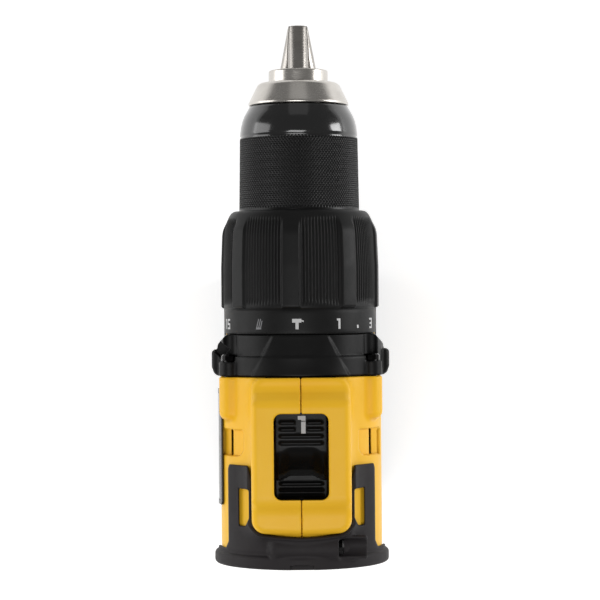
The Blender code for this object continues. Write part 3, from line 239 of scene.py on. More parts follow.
def skin(field, xs, ys, zs, passes=3):
    """Points, quads and normals of the field's zero surface, found on the grid lines xs, ys and zs."""
    value = sampled(field, xs, ys, zs)
    inside, lines = value < 0, (xs, ys, zs)
    cells = tuple(n - 1 for n in value.shape)
    size = int(np.prod(cells))
    total, count, quads = np.zeros((size, 3)), np.zeros(size), []
    for axis in range(3):
        low = tuple(slice(0, -1) if k == axis else slice(None) for k in range(3))
        high = tuple(slice(1, None) if k == axis else slice(None) for k in range(3))
        crossing = inside[low] != inside[high]
        index = np.argwhere(crossing)
        near, far = value[low][crossing], value[high][crossing]
        point = np.stack([lines[k][index[:, k]] for k in range(3)], 1)
        gap = lines[axis][index[:, axis] + 1] - lines[axis][index[:, axis]]
        point[:, axis] += gap * near / (near - far)
        first, second = (axis + 1) % 3, (axis + 2) % 3
        around = []
        for one, two in ((0, 0), (1, 0), (1, 1), (0, 1)):
            cell = index.copy()
            cell[:, first] -= one
            cell[:, second] -= two
            flat = np.ravel_multi_index(cell.T, cells, mode="clip")
            around.append(flat)
            count += np.bincount(flat, minlength=size)
            for k in range(3):
                total[:, k] += np.bincount(flat, weights=point[:, k], minlength=size)
        quad = np.stack(around, 1)
        outwards = inside[low][crossing]
        quads.append(np.where(outwards[:, None], quad, quad[:, ::-1]))
    used = np.flatnonzero(count)
    number = np.zeros(size, np.int64)
    number[used] = np.arange(len(used))
    points = total[used] / count[used, None]
    reach = 0.5 * max(np.diff(line).min() for line in lines)
    for _ in range(passes):
        slope = field_slope(field, points)
        steep = np.maximum((slope ** 2).sum(1, keepdims=True), 0.05)
        move = field(points[:, 0], points[:, 1], points[:, 2])[:, None] * slope / steep
        points -= np.clip(move, -reach, reach)
    slope = field_slope(field, points, 0.06)
    normals = slope / np.maximum(np.linalg.norm(slope, axis=1, keepdims=True), 1e-6)
    return points, number[np.vstack(quads)], normals


def steps(*spans):
    """Grid lines from spans of (start, end, spacing) that follow on from each other."""
    pieces = [np.linspace(a, b, max(2, int(round((b - a) / d)) + 1))[:-1] for a, b, d in spans]
    return np.concatenate(pieces + [np.array([spans[-1][1]])])


# %% [markdown]
# ## Finishes
# A moulded shell is never one flat colour. The tool steel of the mould is spark-eroded or blasted, which
# leaves a grain about 0.1 to 0.4 mm wide in the plastic, and the colour varies a little with the flow of the
# melt. So every finish reads the object's own coordinates, in metres, and carries a grain of a real width
# into its bump and its roughness, with a slower drift of tone over centimetres.


# %% A material from named nodes
def to_linear(hex_colour):
    """An sRGB hex colour as linear RGB: the low end is divided by 12.92, the rest follows the 2.4 power."""
    srgb = [int(hex_colour[i:i + 2], 16) / 255 for i in (1, 3, 5)]
    return tuple(v / 12.92 if v <= 0.04045 else ((v + 0.055) / 1.055) ** 2.4 for v in srgb) + (1.0,)


def add_node(tree, kind, settings=None, **links):
    """Adds a node, sets its attributes and sockets, and links other sockets into it by input name."""
    node = tree.nodes.new(kind)
    for key, value in (settings or {}).items():
        if hasattr(node, key) and key not in node.inputs:
            setattr(node, key, value)
        else:
            node.inputs[key].default_value = value
    for key, socket in links.items():
        tree.links.new(socket, node.inputs[key.replace("_", " ")])
    return node


def blank_finish(name, **shader):
    """A Principled material with its fixed values on the shader's own sockets, and object coordinates."""
    material = bpy.data.materials.new(name)
    material.use_nodes = True
    tree = material.node_tree
    principled = tree.nodes["Principled BSDF"]
    for key, value in shader.items():
        principled.inputs[key.replace("_", " ")].default_value = value
    place = add_node(tree, "ShaderNodeTexCoord").outputs["Object"]
    return material, tree, principled, place


def moulded(name, colour, deep, roughness, grain_mm=0.22, grain_um=12.0, drift=0.5, **shader):
    """Moulded plastic or elastomer: a fine eroded grain in the bump, patchy sheen, slow drift of tone. A noise
    has blobs about as wide as one over its scale, which is counted per metre.
    grain_um is the depth of the grain in thousandths of a millimetre."""
    material, tree, principled, place = blank_finish(name, **shader)
    slow, middle, fine = [
        add_node(tree, "ShaderNodeTexNoise", {"Scale": 1000.0 / width_mm, "Detail": detail,
                                              "Roughness": rough},
                 Vector=place).outputs["Fac"]
        for width_mm, detail, rough in ((28.0, 2.0, 0.55), (3.2, 3.0, 0.55), (grain_mm, 4.0, 0.62))]
    drift_tone, fine_tone, patchy, fine_sheen = [
        add_node(tree, "ShaderNodeMapRange", {"From Min": 0.3, "From Max": 0.7, "To Min": low, "To Max": high},
                 Value=value).outputs["Result"]
        for value, low, high in ((slow, 1.0 - drift, 1.0), (fine, -0.10, 0.10),
                                 (middle, roughness - 0.035, roughness + 0.035), (fine, -0.05, 0.05))]
    ramp = add_node(tree, "ShaderNodeMix", {"data_type": "RGBA"})
    ramp.inputs[6].default_value, ramp.inputs[7].default_value = to_linear(deep), to_linear(colour)
    tone = add_node(tree, "ShaderNodeMath", {"operation": "ADD"})
    tree.links.new(drift_tone, tone.inputs[0])
    tree.links.new(fine_tone, tone.inputs[1])
    tree.links.new(tone.outputs[0], ramp.inputs[0])
    tree.links.new(ramp.outputs[2], principled.inputs["Base Color"])
    worn = add_node(tree, "ShaderNodeMath", {"operation": "ADD"})
    tree.links.new(patchy, worn.inputs[0])
    tree.links.new(fine_sheen, worn.inputs[1])
    tree.links.new(worn.outputs[0], principled.inputs["Roughness"])
    bump = add_node(tree, "ShaderNodeBump", {"Strength": 1.0, "Distance": grain_um * 1e-6}, Height=fine)
    tree.links.new(bump.outputs["Normal"], principled.inputs["Normal"])
    return material


# %% The moulded finishes
DARK_SHEEN = 0.14            # how strongly the blasted blacks mirror, below a polished plastic
yellow_nylon = moulded("pa6_gf30_yellow", "#F5BF2B", "#EEB221", 0.42, 0.30, 9.0, IOR=1.53,
                       Specular_IOR_Level=0.2, Coat_Weight=0.02, Coat_Roughness=0.25)
black_nylon = moulded("pa6_gf30_black", "#111111", "#0C0C0C", 0.40, 0.26, 7.0,
                      IOR=1.53, Specular_IOR_Level=DARK_SHEEN)
collar_nylon = moulded("pa6_gf30_black_blasted", "#161616", "#101010", 0.44, 0.24, 8.0,
                       IOR=1.53, Specular_IOR_Level=DARK_SHEEN)
soft_tpe = moulded("tpe_charcoal_overmould", "#2B2829", "#232122", 0.58, 0.20, 12.0,
                   IOR=1.50, Specular_IOR_Level=DARK_SHEEN)
pack_abs = moulded("pc_abs_black", "#161616", "#101010", 0.42, 0.28, 9.0,
                   IOR=1.57, Specular_IOR_Level=DARK_SHEEN)
print("moulded finishes ready")


# %% [markdown]
# Metals need a different pattern. A turned face keeps the tool's fine rings, which lie round the spindle
# axis and stretch the highlight along it. The rings here are a noise drawn out 25 times across X, so that each
# is about a tenth of a millimetre wide along X. Ground and sintered parts use the same pattern with other widths.


# %% The metal finishes
def turned_metal(name, colour, deep, roughness, ring_mm=0.12, ring_um=1.2, **shader):
    """Metal turned about X: noise drawn out across X makes rings, with a slower stain of tone."""
    material, tree, principled, place = blank_finish(name, Metallic=1.0, **shader)
    squeeze = add_node(tree, "ShaderNodeMapping", {"Scale": (1.0, 0.04, 0.04)}, Vector=place).outputs["Vector"]
    rings, stain = [
        add_node(tree, "ShaderNodeTexNoise", {"Scale": 1000.0 / width_mm, "Detail": detail,
                                              "Roughness": rough},
                 Vector=where).outputs["Fac"]
        for where, width_mm, detail, rough in ((squeeze, ring_mm, 5.0, 0.7), (place, 9.0, 3.0, 0.55))]
    stain_tone, ring_sheen = [
        add_node(tree, "ShaderNodeMapRange", {"From Min": 0.3, "From Max": 0.7, "To Min": low, "To Max": high},
                 Value=value).outputs["Result"]
        for value, low, high in ((stain, 0.2, 1.0), (rings, roughness - 0.06, roughness + 0.06))]
    ramp = add_node(tree, "ShaderNodeMix", {"data_type": "RGBA"})
    ramp.inputs[6].default_value, ramp.inputs[7].default_value = to_linear(deep), to_linear(colour)
    tree.links.new(stain_tone, ramp.inputs[0])
    tree.links.new(ramp.outputs[2], principled.inputs["Base Color"])
    tree.links.new(ring_sheen, principled.inputs["Roughness"])
    bump = add_node(tree, "ShaderNodeBump", {"Strength": 1.0, "Distance": ring_um * 1e-6}, Height=rings)
    tree.links.new(bump.outputs["Normal"], principled.inputs["Normal"])
    return material


bright_steel = turned_metal("carbon_steel_turned", "#C9C5BF", "#B5B1AB", 0.24)
jaw_steel = turned_metal("alloy_steel_ground", "#A9A5A0", "#8F8B86", 0.27, 0.2, 1.5)
gear_steel = turned_metal("sintered_steel_oiled", "#8A8681", "#6E6A66", 0.38, 0.35, 3.0)
black_oxide = turned_metal("carbon_steel_black_oxide", "#1C1B1B", "#121212", 0.20, 0.15, 0.6)
copper_wire = turned_metal("enamelled_copper", "#B5713F", "#8E4F28", 0.32, 0.5, 30.0)
sleeve_lacquer = moulded("zinc_sleeve_gloss_black", "#0B0B0B", "#080808", 0.16, 0.6, 1.2, IOR=1.56,
                         Coat_Weight=0.5, Coat_Roughness=0.06)
knurl_lacquer = moulded("zinc_knurl_satin_black", "#0D0D0D", "#080808", 0.34, 0.4, 3.0, IOR=1.56,
                        Specular_IOR_Level=0.2)
cell_wrap = moulded("pvc_shrink_wrap", "#2F6E9E", "#28608C", 0.30, 1.5, 4.0, IOR=1.54)
laminations = turned_metal("silicon_steel_laminations", "#77726C", "#5A5651", 0.42, 0.5, 12.0)
selector_nylon = moulded("pa6_black_selector", "#101010", "#0B0B0B", 0.32, 0.22, 4.0,
                         IOR=1.53, Specular_IOR_Level=DARK_SHEEN)
gloss_label = moulded("pc_film_black", "#0D0D0D", "#0A0A0A", 0.22, 0.8, 1.0, IOR=1.58)
pad_print = moulded("pad_print_light_grey", "#C4C4C4", "#B6B6B6", 0.5, 0.15, 3.0, IOR=1.48)
dim_print = moulded("pad_print_worn_grey", "#77777A", "#5F5F60", 0.5, 0.15, 3.0, IOR=1.48)
clear_pc = moulded("polycarbonate_lens", "#E9EDF0", "#DCE2E6", 0.08, 0.9, 1.0, IOR=1.585,
                  Transmission_Weight=0.85)
print("metal finishes ready")


# %% [markdown]
# ## The housing as one field
# The two yellow half shells are injection moulded in glass-filled nylon. The motor barrel, the raised hump
# over
# the speed selector, the handle and the foot are blended with fillets of 1 to 6 mm, because sharp inside
# corners crack and fill badly. The fillets come straight from the rounded join.


# %% Barrel and hump
BARREL, HOUSING_REAR, HOUSING_FRONT = 28.6, -52.2, 11.2
HUMP_TOP, HUMP_SIDE, HUMP_REAR = 36.0, 17.2, -42.9


def hump_profile(x, h, inset=0.0):
    """Side view of the hump, h above the spindle: a plateau between two slopes, over a lower ledge."""
    rear = slope_plane(x, h, (-35.2, 32.8), (-31.2, HUMP_TOP))
    front = slope_plane(x, h, (2.8, HUMP_TOP), (7.0, 31.2))
    plateau = meet(meet(h - HUMP_TOP, rear, 1.4), front, 1.4)
    ledge = h - np.where(x < -14, 33.0 - 0.012 * (x + 35) ** 2, 31.0)
    return join(plateau, ledge, 1.2) + inset


def barrel_and_hump(x, y, z, fillet=3.0):
    """Round barrel, hump and screw lugs, joined by fillets, then cut square at the front."""
    h = z - AXIS
    round_body = np.hypot(y, h) - BARREL
    rear = HUMP_REAR + 0.0035 * y ** 2 - x
    plan = meet(meet(np.abs(y) - HUMP_SIDE, rear, 4.3), x - 12.2, 5.5)
    hump = meet(meet(hump_profile(x, h), plan, 2.4), 5 - h)
    body = join(round_body, hump, fillet)
    body = join(body, rod(np.abs(y), np.abs(h), x, (24.6, 14), 4.0, (-4.0, 30.0), 3.0), 1.6)
    return meet(meet(body, x - HOUSING_FRONT, 0.5), HOUSING_REAR - x, 4.0)


# %% Handle and foot
HANDLE_Z = (50.0, 55.1, 63.3, 69.8, 79.7, 94.4, 110.8, 124.0, 133.8, 146.0, 152.0)
HANDLE_X = (-17.6, -18.0, -20.6, -21.6, -21.4, -19.8, -17.0, -15.0, -14.0, -14.0, -14.0)
HANDLE_A = (28.2, 27.0, 22.6, 19.8, 18.6, 19.4, 19.0, 19.6, 21.2, 24.0, 24.6)
HANDLE_B = (25.6, 24.5, 20.1, 17.5, 16.5, 17.2, 16.5, 16.8, 18.3, 21.0, 21.6)
fine_z = np.linspace(50, 152, 409)
window_shape = np.hanning(33) / np.hanning(33).sum()


def eased(values):
    """The table read on a fine line and averaged over 8 mm, so that the handle has no creases."""
    line = np.interp(fine_z, HANDLE_Z, values)
    return np.convolve(np.pad(line, 16, "edge"), window_shape, "valid")


handle_lines = [eased(values) for values in (HANDLE_X, HANDLE_A, HANDLE_B)]


def handle(x, y, z):
    """A column whose cross-section is a superellipse of power 2.6; its centre and two half widths vary
    with z."""
    centre, deep, wide = (np.interp(z, fine_z, line) for line in handle_lines)
    q = (np.abs((x - centre) / deep) ** 2.6 + np.abs(y / wide) ** 2.6 + 1e-9) ** (1 / 2.6)
    return meet((q - 1) * np.minimum(deep, wide) * 0.93, slab(z, 50, 150))


def foot(x, y, z):
    """The foot's block over the pack, corners 6 mm in plan."""
    return meet(meet(plate(x, y, (-47, -30), (44, 30), 6.0), z - 60, 3.4), 44.5 - z, 0.6)


def outer_body(x, y, z):
    """Barrel with hump, handle and foot, joined by fillets of 5 and 4.5 mm."""
    return join(join(barrel_and_hump(x, y, z), handle(x, y, z), 5.0), foot(x, y, z), 4.5)


# %% [markdown]
# The shells are hollow: 2.6 mm walls round the motor, the gearcase, the switch and the terminals. Openings
# are cut through those walls for the selector, the trigger, the direction lever, the pack's rails, the lamp,
# the air and the screws. Each opening's edge has its own small radius, as a mould's does.


# %% Rooms and openings
SCREW_SEATS = ((-47.2, 189.2, -12.5), (-47.2, 142.0, -9.0), (-27.5, 130.0, -9.0),
               (-32.5, 70.0, -8.0), (-41.0, 53.0, -12.0))   # x, z and the y of the head's seat


def rooms(x, y, z):
    """The hollow inside: barrel bore, hump room, handle room and foot room."""
    h = z - AXIS
    bore = meet(np.hypot(y, h) - 26.0, -49.6 - x, 3.0)
    hump = meet(meet(hump_profile(x, h, 2.3), np.abs(y) - 11.8), meet(-40.6 - x, 10 - h))
    foot_room = meet(plate(x, y, (-44.4, -27.4), (41.4, 27.4), 4.0), slab(z, 47.1, 57.4), 1.5)
    return join(join(np.minimum(bore, hump), handle(x, y, z) + 2.7, 2.0), foot_room, 2.0)


def vents(x, y, h, side):
    """A shallow pocket with one slanted corner, and a slit through its floor, high on each flank. Three more
    slits lie lower down; on the left one gives way to the label."""
    across = np.abs(y)
    corner = -0.78 * (across - 21.6) - 0.62 * (x + 16.4)
    pocket = meet(plate(x, across, (-16.4, 20.0), (-7.2, 27.8), 0.9), corner, 0.6)
    floor = np.where(across < 23.8, 1.7, 2.6 - 0.62 * (across - 23.8))
    pocket = meet(meet(pocket, BARREL - floor - np.hypot(y, h)), 6 - h)
    cuts = join(pocket, meet(plate(x, across, (-16.0, 23.8), (-7.6, 24.15), 0.1), 5 - h), 0.2)
    for turn in (76.0, 90.0, 104.0):
        if turn == 90.0 and side > 0:
            continue
        c, s = math.cos(math.radians(turn)), math.sin(math.radians(turn))
        tangent, outward = across * c - h * s, across * s + h * c
        cuts = np.minimum(cuts, meet(plate(x, tangent, (-16.8, -0.8), (-7.6, 0.8), 0.7), 20 - outward))
    return cuts


def openings(x, y, z, side):
    """Selector window, trigger mouth, lever slots, the channel for the pack's rails, lamp hole and vents."""
    h = z - AXIS
    cuts = meet(plate(x, y, (-30.4, -9.4), (-0.9, 9.4), 2.6), 25.9 - h)
    mouth = meet(plate(y, z, (-8.7, 105.7), (8.7, 129.3), 1.2), slab(x, -8.0, 30.0))
    lever = meet(plate(x, z, (-2.3, 131.5), (7.3, 136.5), 0.8), 8 - np.abs(y))
    neck = meet(slab(y, -13.3, 13.3), slab(z, 40.0, 48.0))
    head = meet(slab(y, -17.3, 17.3), slab(z, 47.1, 51.5))
    groove = meet(slab(y, -10.0, 10.0), slab(z, 40.0, 48.1))
    channel = meet(np.minimum(neck, head), -36.0 - x)
    groove = meet(groove, 34.0 - x)
    lamp = meet(np.hypot(x - 25, y) - 4.6, 50 - z)
    for item in (mouth, lever, channel, groove, lamp, vents(x, y, h, side)):
        cuts = np.minimum(cuts, item)
    return cuts


def shell(side):
    """The field of one half: wall with openings, plus screw posts, kept on its side of the seam."""
    def field(x, y, z):
        outer = outer_body(x, y, z)
        wall = meet(outer, -rooms(x, y, z), 0.4)
        axes = [np.hypot(x - seat_x, z - seat_z) for seat_x, seat_z, _ in SCREW_SEATS]
        posts = np.minimum.reduce([np.broadcast_arrays(axis)[0] for axis in axes]) - 3.8
        wall = join(wall, meet(meet(posts, outer + 1.0), np.abs(y) - 12.4), 0.8)
        wall = cut(wall, openings(x, y, z, side), 0.45)
        holes = meet(posts + 1.9, y - 9.0)
        for away, (_, _, seat_y) in zip(axes, SCREW_SEATS):
            holes = np.minimum(holes, meet(away - 3.1, y - seat_y))
        holes = np.minimum(holes, meet(np.hypot(np.abs(y) - 25, np.abs(z - AXIS) - 14) - 1.9, 1.0 - x))
        wall = cut(wall, holes, 0.3)
        return meet(wall, 0.1 - side * y, 0.3)
    return field


grid_x = steps((-54, 13, 0.62), (13, 46, 1.1))
grid_z = steps((42, 132, 0.95), (132, 200, 0.62))
for side, label in ((1, "left"), (-1, "right")):
    grid_y = np.sort(side * steps((-0.6, 31.5, 0.62)))
    points, faces, normals = skin(shell(side), grid_x, grid_y, grid_z)
    piece = make_piece(f"housing_{label}", points, faces, yellow_nylon, "housing", (f"shell_{label}",),
                       normals)


# %% [markdown]
# ## The rubber bumper and the grip
# Elastomer is moulded over the nylon in a second shot, so it follows the housing at a constant thickness and
# ends
# in a clean line. Its field is the housing's own field, moved out by 1.3 mm, inside an outline drawn from
# above
# for the arms and from the side for the grip. Rounded corners in the outline become rounded corners in rubber.


# %% Outlines
def outline(a, b, corners, r):
    """Distance to a polygon seen along the third axis, grown by r, which rounds its outer corners. The nearest
    edge gives the size and a crossing count the sign."""
    a, b = np.broadcast_arrays(a, b)
    near, inside = np.full(a.shape, 1e9), np.zeros(a.shape, bool)
    for (a0, b0), (a1, b1) in zip(corners, corners[1:] + corners[:1]):
        da, db = a1 - a0, b1 - b0
        t = np.clip(((a - a0) * da + (b - b0) * db) / (da * da + db * db), 0, 1)
        near = np.minimum(near, (a - a0 - t * da) ** 2 + (b - b0 - t * db) ** 2)
        if db:
            inside ^= ((b0 > b) != (b1 > b)) & (a < a0 + (b - b0) * da / db)
    return np.where(inside, -1.0, 1.0) * np.sqrt(near) - r


ARM = [(-19.9, 18.9), (-19.9, 24.9), (-21.0, 25.2), (-46.5, 25.2), (-49.4, 26.4), (-50.6, 40.0), (-60.0, 40.0),
       (-60.0, -5.0), (-44.4, -5.0), (-44.0, 6.0), (-43.2, 13.0), (-40.6, 16.0), (-37.5, 16.9), (-25.6, 17.3),
       (-20.6, 18.8)]
ARM_WINDOW = [(-28.0, 18.9), (-28.0, 21.2), (-39.8, 21.2), (-39.8, 20.0), (-37.3, 18.9)]


def bumper(x, y, z):
    """Rear cap with a raised rim, an arm each side of the hump with a window in it, the top screw's boss."""
    h, across = z - AXIS, np.abs(y)
    r = np.hypot(y, h)
    body = barrel_and_hump(x, y, z)
    ceiling = h - 27.0 - 1.2 * np.maximum(-40 - x, 0)
    plan = np.where(h > 0, meet(outline(x, across, ARM, 0.55), ceiling, 0.5), x + 50.5)
    below = meet(x + 42.9, np.maximum(r - 40, h + 12.0), 1.0)
    plan = np.minimum(plan, below)
    coat = meet(barrel_and_hump(x, y, z, 6.0) - 1.3, plan, 0.5)
    coat = meet(coat, -55.0 - x, 1.4)
    cap = meet(meet(r - 31.0, slab(x, -55.0, -50.4), 1.3), 20 - r)
    coat = join(coat, cap, 0.8)
    tip = (x + 47.5, h - 27.2)
    boss = meet(meet(np.hypot(*tip) - 4.3, y - 11.6, 3.4), -12.6 - y, 0.25)
    pad = meet(meet(np.hypot(*tip) - 4.3, h - 27.0, 1.0), meet(-22.6 - y, y + 12.0), 0.8)
    coat = join(join(coat, boss, 1.0), pad, 1.2)
    coat = cut(coat, meet(meet(np.hypot(*tip) - 3.0, y + 12.4), 0.7 - body), 0.3)
    coat = cut(coat, meet(outline(x, across, ARM_WINDOW, 0.6), 5 - h), 0.5)
    coat = cut(coat, meet(plate(y, h, (-4.0, 29.2), (4.0, 40.0), 0.3), x + 53.4), 0.2)
    return meet(coat, 0.12 - body)


GRIP_SIDE = [(-59.0, 66.0), (29.0, 66.0), (29.0, 96.6), (-8.0, 99.4), (-14.6, 103.0), (-19.4, 112.0),
             (-23.0, 127.6), (-29.0, 130.6), (-59.0, 130.6)]
RIBBED_SIDE = [(-58.0, 76.0), (-20.0, 76.0), (-22.5, 100.0), (-27.0, 121.0), (-58.0, 121.0)]


def grip(side):
    """The handle's field moved out by 1.3 mm inside the side outline, with shallow finger grooves round
    the back."""
    def field(x, y, z):
        column = join(handle(x, y, z), foot(x, y, z), 4.5)
        waves = 0.26 * np.clip(np.cos((z + 0.18 * x) * math.tau / 3.4) * 1.6, -1, 1)
        ribbed = meet(outline(x, z, RIBBED_SIDE, 1.0), 4.0 - np.abs(y))
        depth = 1.25 - (0.26 + waves) * np.clip(0.5 - ribbed, 0, 1)
        coat = meet(column - depth, outline(x, z, GRIP_SIDE, 1.0), 0.6)
        for seat_x, seat_z, _ in SCREW_SEATS[2:4]:
            coat = cut(coat, meet(np.hypot(x - seat_x, z - seat_z) - 3.5, y), 0.4)
        return meet(meet(coat, 0.12 - column), 0.1 - side * y, 0.2)
    return field


bumper_x, bumper_z = steps((-56.5, -18, 0.5)), steps((129.5, 196, 0.5))
grip_x, grip_z = steps((-50, 16, 0.6)), steps((62, 134, 0.55))
points, faces, normals = skin(bumper, bumper_x, steps((-32.5, 32.5, 0.5)), bumper_z)
piece = make_piece("bumper_rubber", points, faces, soft_tpe, "housing", ("bumper_left", "bumper_right"),
                   normals)
for side, label in ((1, "left"), (-1, "right")):
    points, faces, normals = skin(grip(side), grip_x, np.sort(side * steps((-0.6, 24, 0.55))), grip_z)
    piece = make_piece(f"grip_{label}_rubber", points, faces, soft_tpe, "housing", (f"grip_{label}",), normals)

# %% [markdown]
# ## The gearcase
# Black glass-filled nylon carries the gears and takes the torque. Its flange has ears and gussets that lead
# the
# load into four screws, with pockets between them so that the walls stay even. It is one more field.


# %% Gearcase
def gearcase(x, y, z):
    """Flange with shield, pockets, ears and screw lugs; a snout to the front and the gear barrel to the
    rear."""
    h, across = z - AXIS, np.abs(y)
    r = np.hypot(y, h)
    band = meet(r - 28.5, slab(x, 11.5, 18.4), 0.6)
    floor = meet(r - 26.9, slab(x, 11.5, 25.9), 0.4)
    slant = (across - 13.6 + 0.52 * (x - 18.4)) / 1.13
    shield = meet(meet(r - 28.3 + 0.16 * (x - 18), slant, 0.8), meet(slab(x, 11.5, 25.9), 5 - h), 0.7)
    outer_slope = (across - 32.8 + 0.95 * (x - 19.0)) / 1.38
    corner = meet(meet(meet(r - 29.6, outer_slope, 0.5), slab(x, 11.5, 25.9), 0.5), 21.6 - across, 0.5)
    corner = meet(meet(corner, h - 15.5, 0.8), -15.5 - h, 0.8)
    ear_in = 0.35 * np.maximum(14.5 - x, 0)
    ear = meet(meet(across - 31.55 + ear_in, np.abs(h) - 5.6, 1.8), slab(x, 11.5, 20.6), 1.2)
    ear = meet(ear, 20.0 - across)
    lug = rod(across, np.abs(h), x, (25, 14), 3.6, (11.5, 16.6), 0.5)
    body = join(join(band, floor, 0.4), shield, 0.5)
    body = join(join(join(body, corner, 0.7), ear, 0.8), lug, 0.6)
    rib = meet(meet(np.abs(across - 24.3) - 0.8, r - 27.6), slab(x, 18, 25.9), 0.3)
    body = join(body, meet(rib, 6 - h), 0.5)
    body = cut(body, meet(np.hypot(across - 25, np.abs(h) - 14) - 3.2, 16.6 - x), 0.3)
    body = cut(body, np.hypot(across - 25, np.abs(h) - 14) - 1.9)
    diamond = np.abs(x - 20.6) + np.abs(y - 28.0) - 3.0
    body = cut(body, meet(diamond / 1.41, 2.0 - h), 0.3)
    snout = meet(r - 17.2, slab(x, 20.0, 60.0), 0.8)
    rear = meet(r - 24.6, slab(x, -3.6, 13.0), 0.5)
    body = np.minimum(np.minimum(body, snout), rear)
    gear_room = meet(r - 22.2, slab(x, 0.8, 20.5), 0.3)
    bearing_room = meet(r - 13.25, 50.0 - x)
    passage = r - 8.0
    small = meet(r - 7.25, slab(x, -3.2, 5.0))
    rooms_inside = np.minimum(np.minimum(gear_room, bearing_room), np.minimum(meet(passage, 10.0 - x), small))
    return cut(body, np.minimum(rooms_inside, r - 3.5), 0.3)


points, faces, normals = skin(gearcase, steps((-5, 11, 1.1), (11, 27, 0.45), (27, 62, 1.1)),
                              steps((-33, 33, 0.5)), steps((AXIS - 30.5, AXIS + 30.5, 0.5)))
piece = make_piece("gearcase_housing", points, faces, black_nylon, "housing", ("gearcase",), normals)

# %% [markdown]
# ## The torque collar
# The collar is a turned sleeve with eight finger ribs and fine ridges along it. Its skin is a grid round the
# spindle: the radius is a function of the station x and the angle. The ridges are a cosine of the angle, the
# ribs are rounded steps, and both fade out where the real mould fades them.


# %% Collar
def smooth_step(value, low, high):
    """0 below low, 1 above high, and a smooth cubic between."""
    t = np.clip((value - low) / (high - low), 0, 1)
    return t * t * (3 - 2 * t)


outside_x = np.array([26.2, 26.25, 26.5, 27.0, *np.linspace(28, 34.2, 7), 34.5, 34.75, 34.9, 35.0, 35.15,
                      35.4, 35.8,
                      *np.linspace(36.4, 60, 22), *np.linspace(61, 68.4, 13), 68.9, 69.2, 69.4, 69.5])
outside_r = np.interp(outside_x, [26.2, 26.4, 26.7, 34.3, 34.7, 34.8, 35.3, 50.0, 61.0, 64.0, 66.5, 68.0,
                                  69.0, 69.5],
                      [26.6, 26.8, 26.9, 26.9, 26.7, 26.7, 27.15, 27.15, 26.7, 26.3, 25.7, 25.0, 24.3, 23.5])
ANGLES = 1152
angle = np.linspace(0, math.tau, ANGLES, endpoint=False)
from_rib = (np.degrees(angle) - 6.6 + 22.5) % 45.0 - 22.5
rib_half = 6.9
rib_shape = 1 - smooth_step(np.abs(from_rib), rib_half - 1.3, rib_half + 0.5)
rib_along = smooth_step(outside_x, 34.9, 35.7) * (1 - smooth_step(outside_x, 62.0, 67.2))
ridge = 0.5 + 0.5 * np.cos(angle * 144)
ridge_along = smooth_step(outside_x, 36.6, 38.0) * (1 - smooth_step(outside_x, 65.5, 67.5))
ridge_across = smooth_step(np.abs(from_rib), rib_half + 0.6, rib_half + 1.6)
radius = outside_r[:, None] + 0.95 * rib_along[:, None] * rib_shape[None, :]
radius -= 0.40 * ridge_along[:, None] * (ridge_across * ridge)[None, :]
inner = [(69.5, 22.2), (69.3, 22.0), (66.3, 22.0), (66.1, 22.2), (66.1, 24.4), (65.9, 24.6), (26.4, 24.6),
         (26.2, 24.8)]
station = np.concatenate((outside_x, [p[0] for p in inner]))
radius = np.vstack((radius, np.repeat([[p[1]] for p in inner], ANGLES, 1)))
points, faces = closed_ring(station, radius)
piece = make_piece("torque_collar_grip", points, faces[:, ::-1], collar_nylon, "collar", ("torque_collar",),
                   sharp=50)

# %% [markdown]
# ## The chuck
# The sleeve is zinc, knurled to a diamond and lacquered black; its shoulder is left smooth and glossy. A knurl
# is two sets of grooves that cross. Each set is a triangle wave of the angle plus or minus the station, and
# the
# surface is the lower of the two. In front of the sleeve are a turned steel cone, the chuck body's ring and
# three jaws.


# %% Sleeve
def wave(phase):
    """Triangle wave from 0 to 1 with period 1."""
    return 2 * np.abs(phase - np.floor(phase) - 0.5)


def knurled_sleeve():
    """Radius minus depth times the crossed grooves, between a short rear end and the smooth shoulder."""
    diamonds, per = 116, 6
    columns = diamonds * per
    turn = np.linspace(0, math.tau, columns, endpoint=False)
    pitch = math.tau * 21.3 / diamonds
    rows = int(25.4 / pitch * per)
    along = np.linspace(70.2, 95.4, rows)
    depth = 0.34 * smooth_step(along, 70.2, 70.7) * (1 - smooth_step(along, 95.0, 95.4))
    a, b = turn[None, :] * diamonds / math.tau, along[:, None] / (pitch * 1.25)
    groove = np.maximum(1 - 2.2 * np.minimum(wave(a + b), wave(a - b)), 0.0)
    knurl = np.interp(along, [70, 95.8], [21.4, 21.0])[:, None] - depth[:, None] * groove
    ends = rounded_profile([(66.5, 19.1, 0.0), (66.5, 21.3, 0.6), (69.9, 21.4, 0.0)], 5)
    shoulder = [(95.7, 21.0), (95.8, 20.75), (96.1, 20.75), (96.3, 21.0), (97.5, 20.95), (99.5, 20.7),
                (101.5, 20.25),
                (103.3, 19.6), (104.8, 18.8), (106.0, 18.1), (106.7, 17.75), (106.95, 17.5), (107.0, 17.2),
                (107.0, 16.2), (106.8, 16.0), (104.2, 16.0), (104.0, 16.2), (104.0, 19.0), (103.8, 19.1)]
    radius = np.vstack((np.repeat(ends[:, 1:], columns, 1), knurl,
                        np.repeat(np.asarray(shoulder)[:, 1:], columns, 1)))
    station = np.concatenate((ends[:, 0], along, [p[0] for p in shoulder]))
    return (*closed_ring(station, radius), len(ends), rows, columns)


points, faces, first_rows, knurl_rows, knurl_columns = knurled_sleeve()
piece = make_piece("chuck_sleeve_knurled", points, faces[:, ::-1], knurl_lacquer, "sleeve_group",
                   ("chuck_sleeve",), sharp=60)
piece.data.materials.append(sleeve_lacquer)
slots = np.zeros(len(faces), np.int32)
slots[(first_rows + knurl_rows - 1) * knurl_columns:] = 1
piece.data.polygons.foreach_set("material_index", slots)

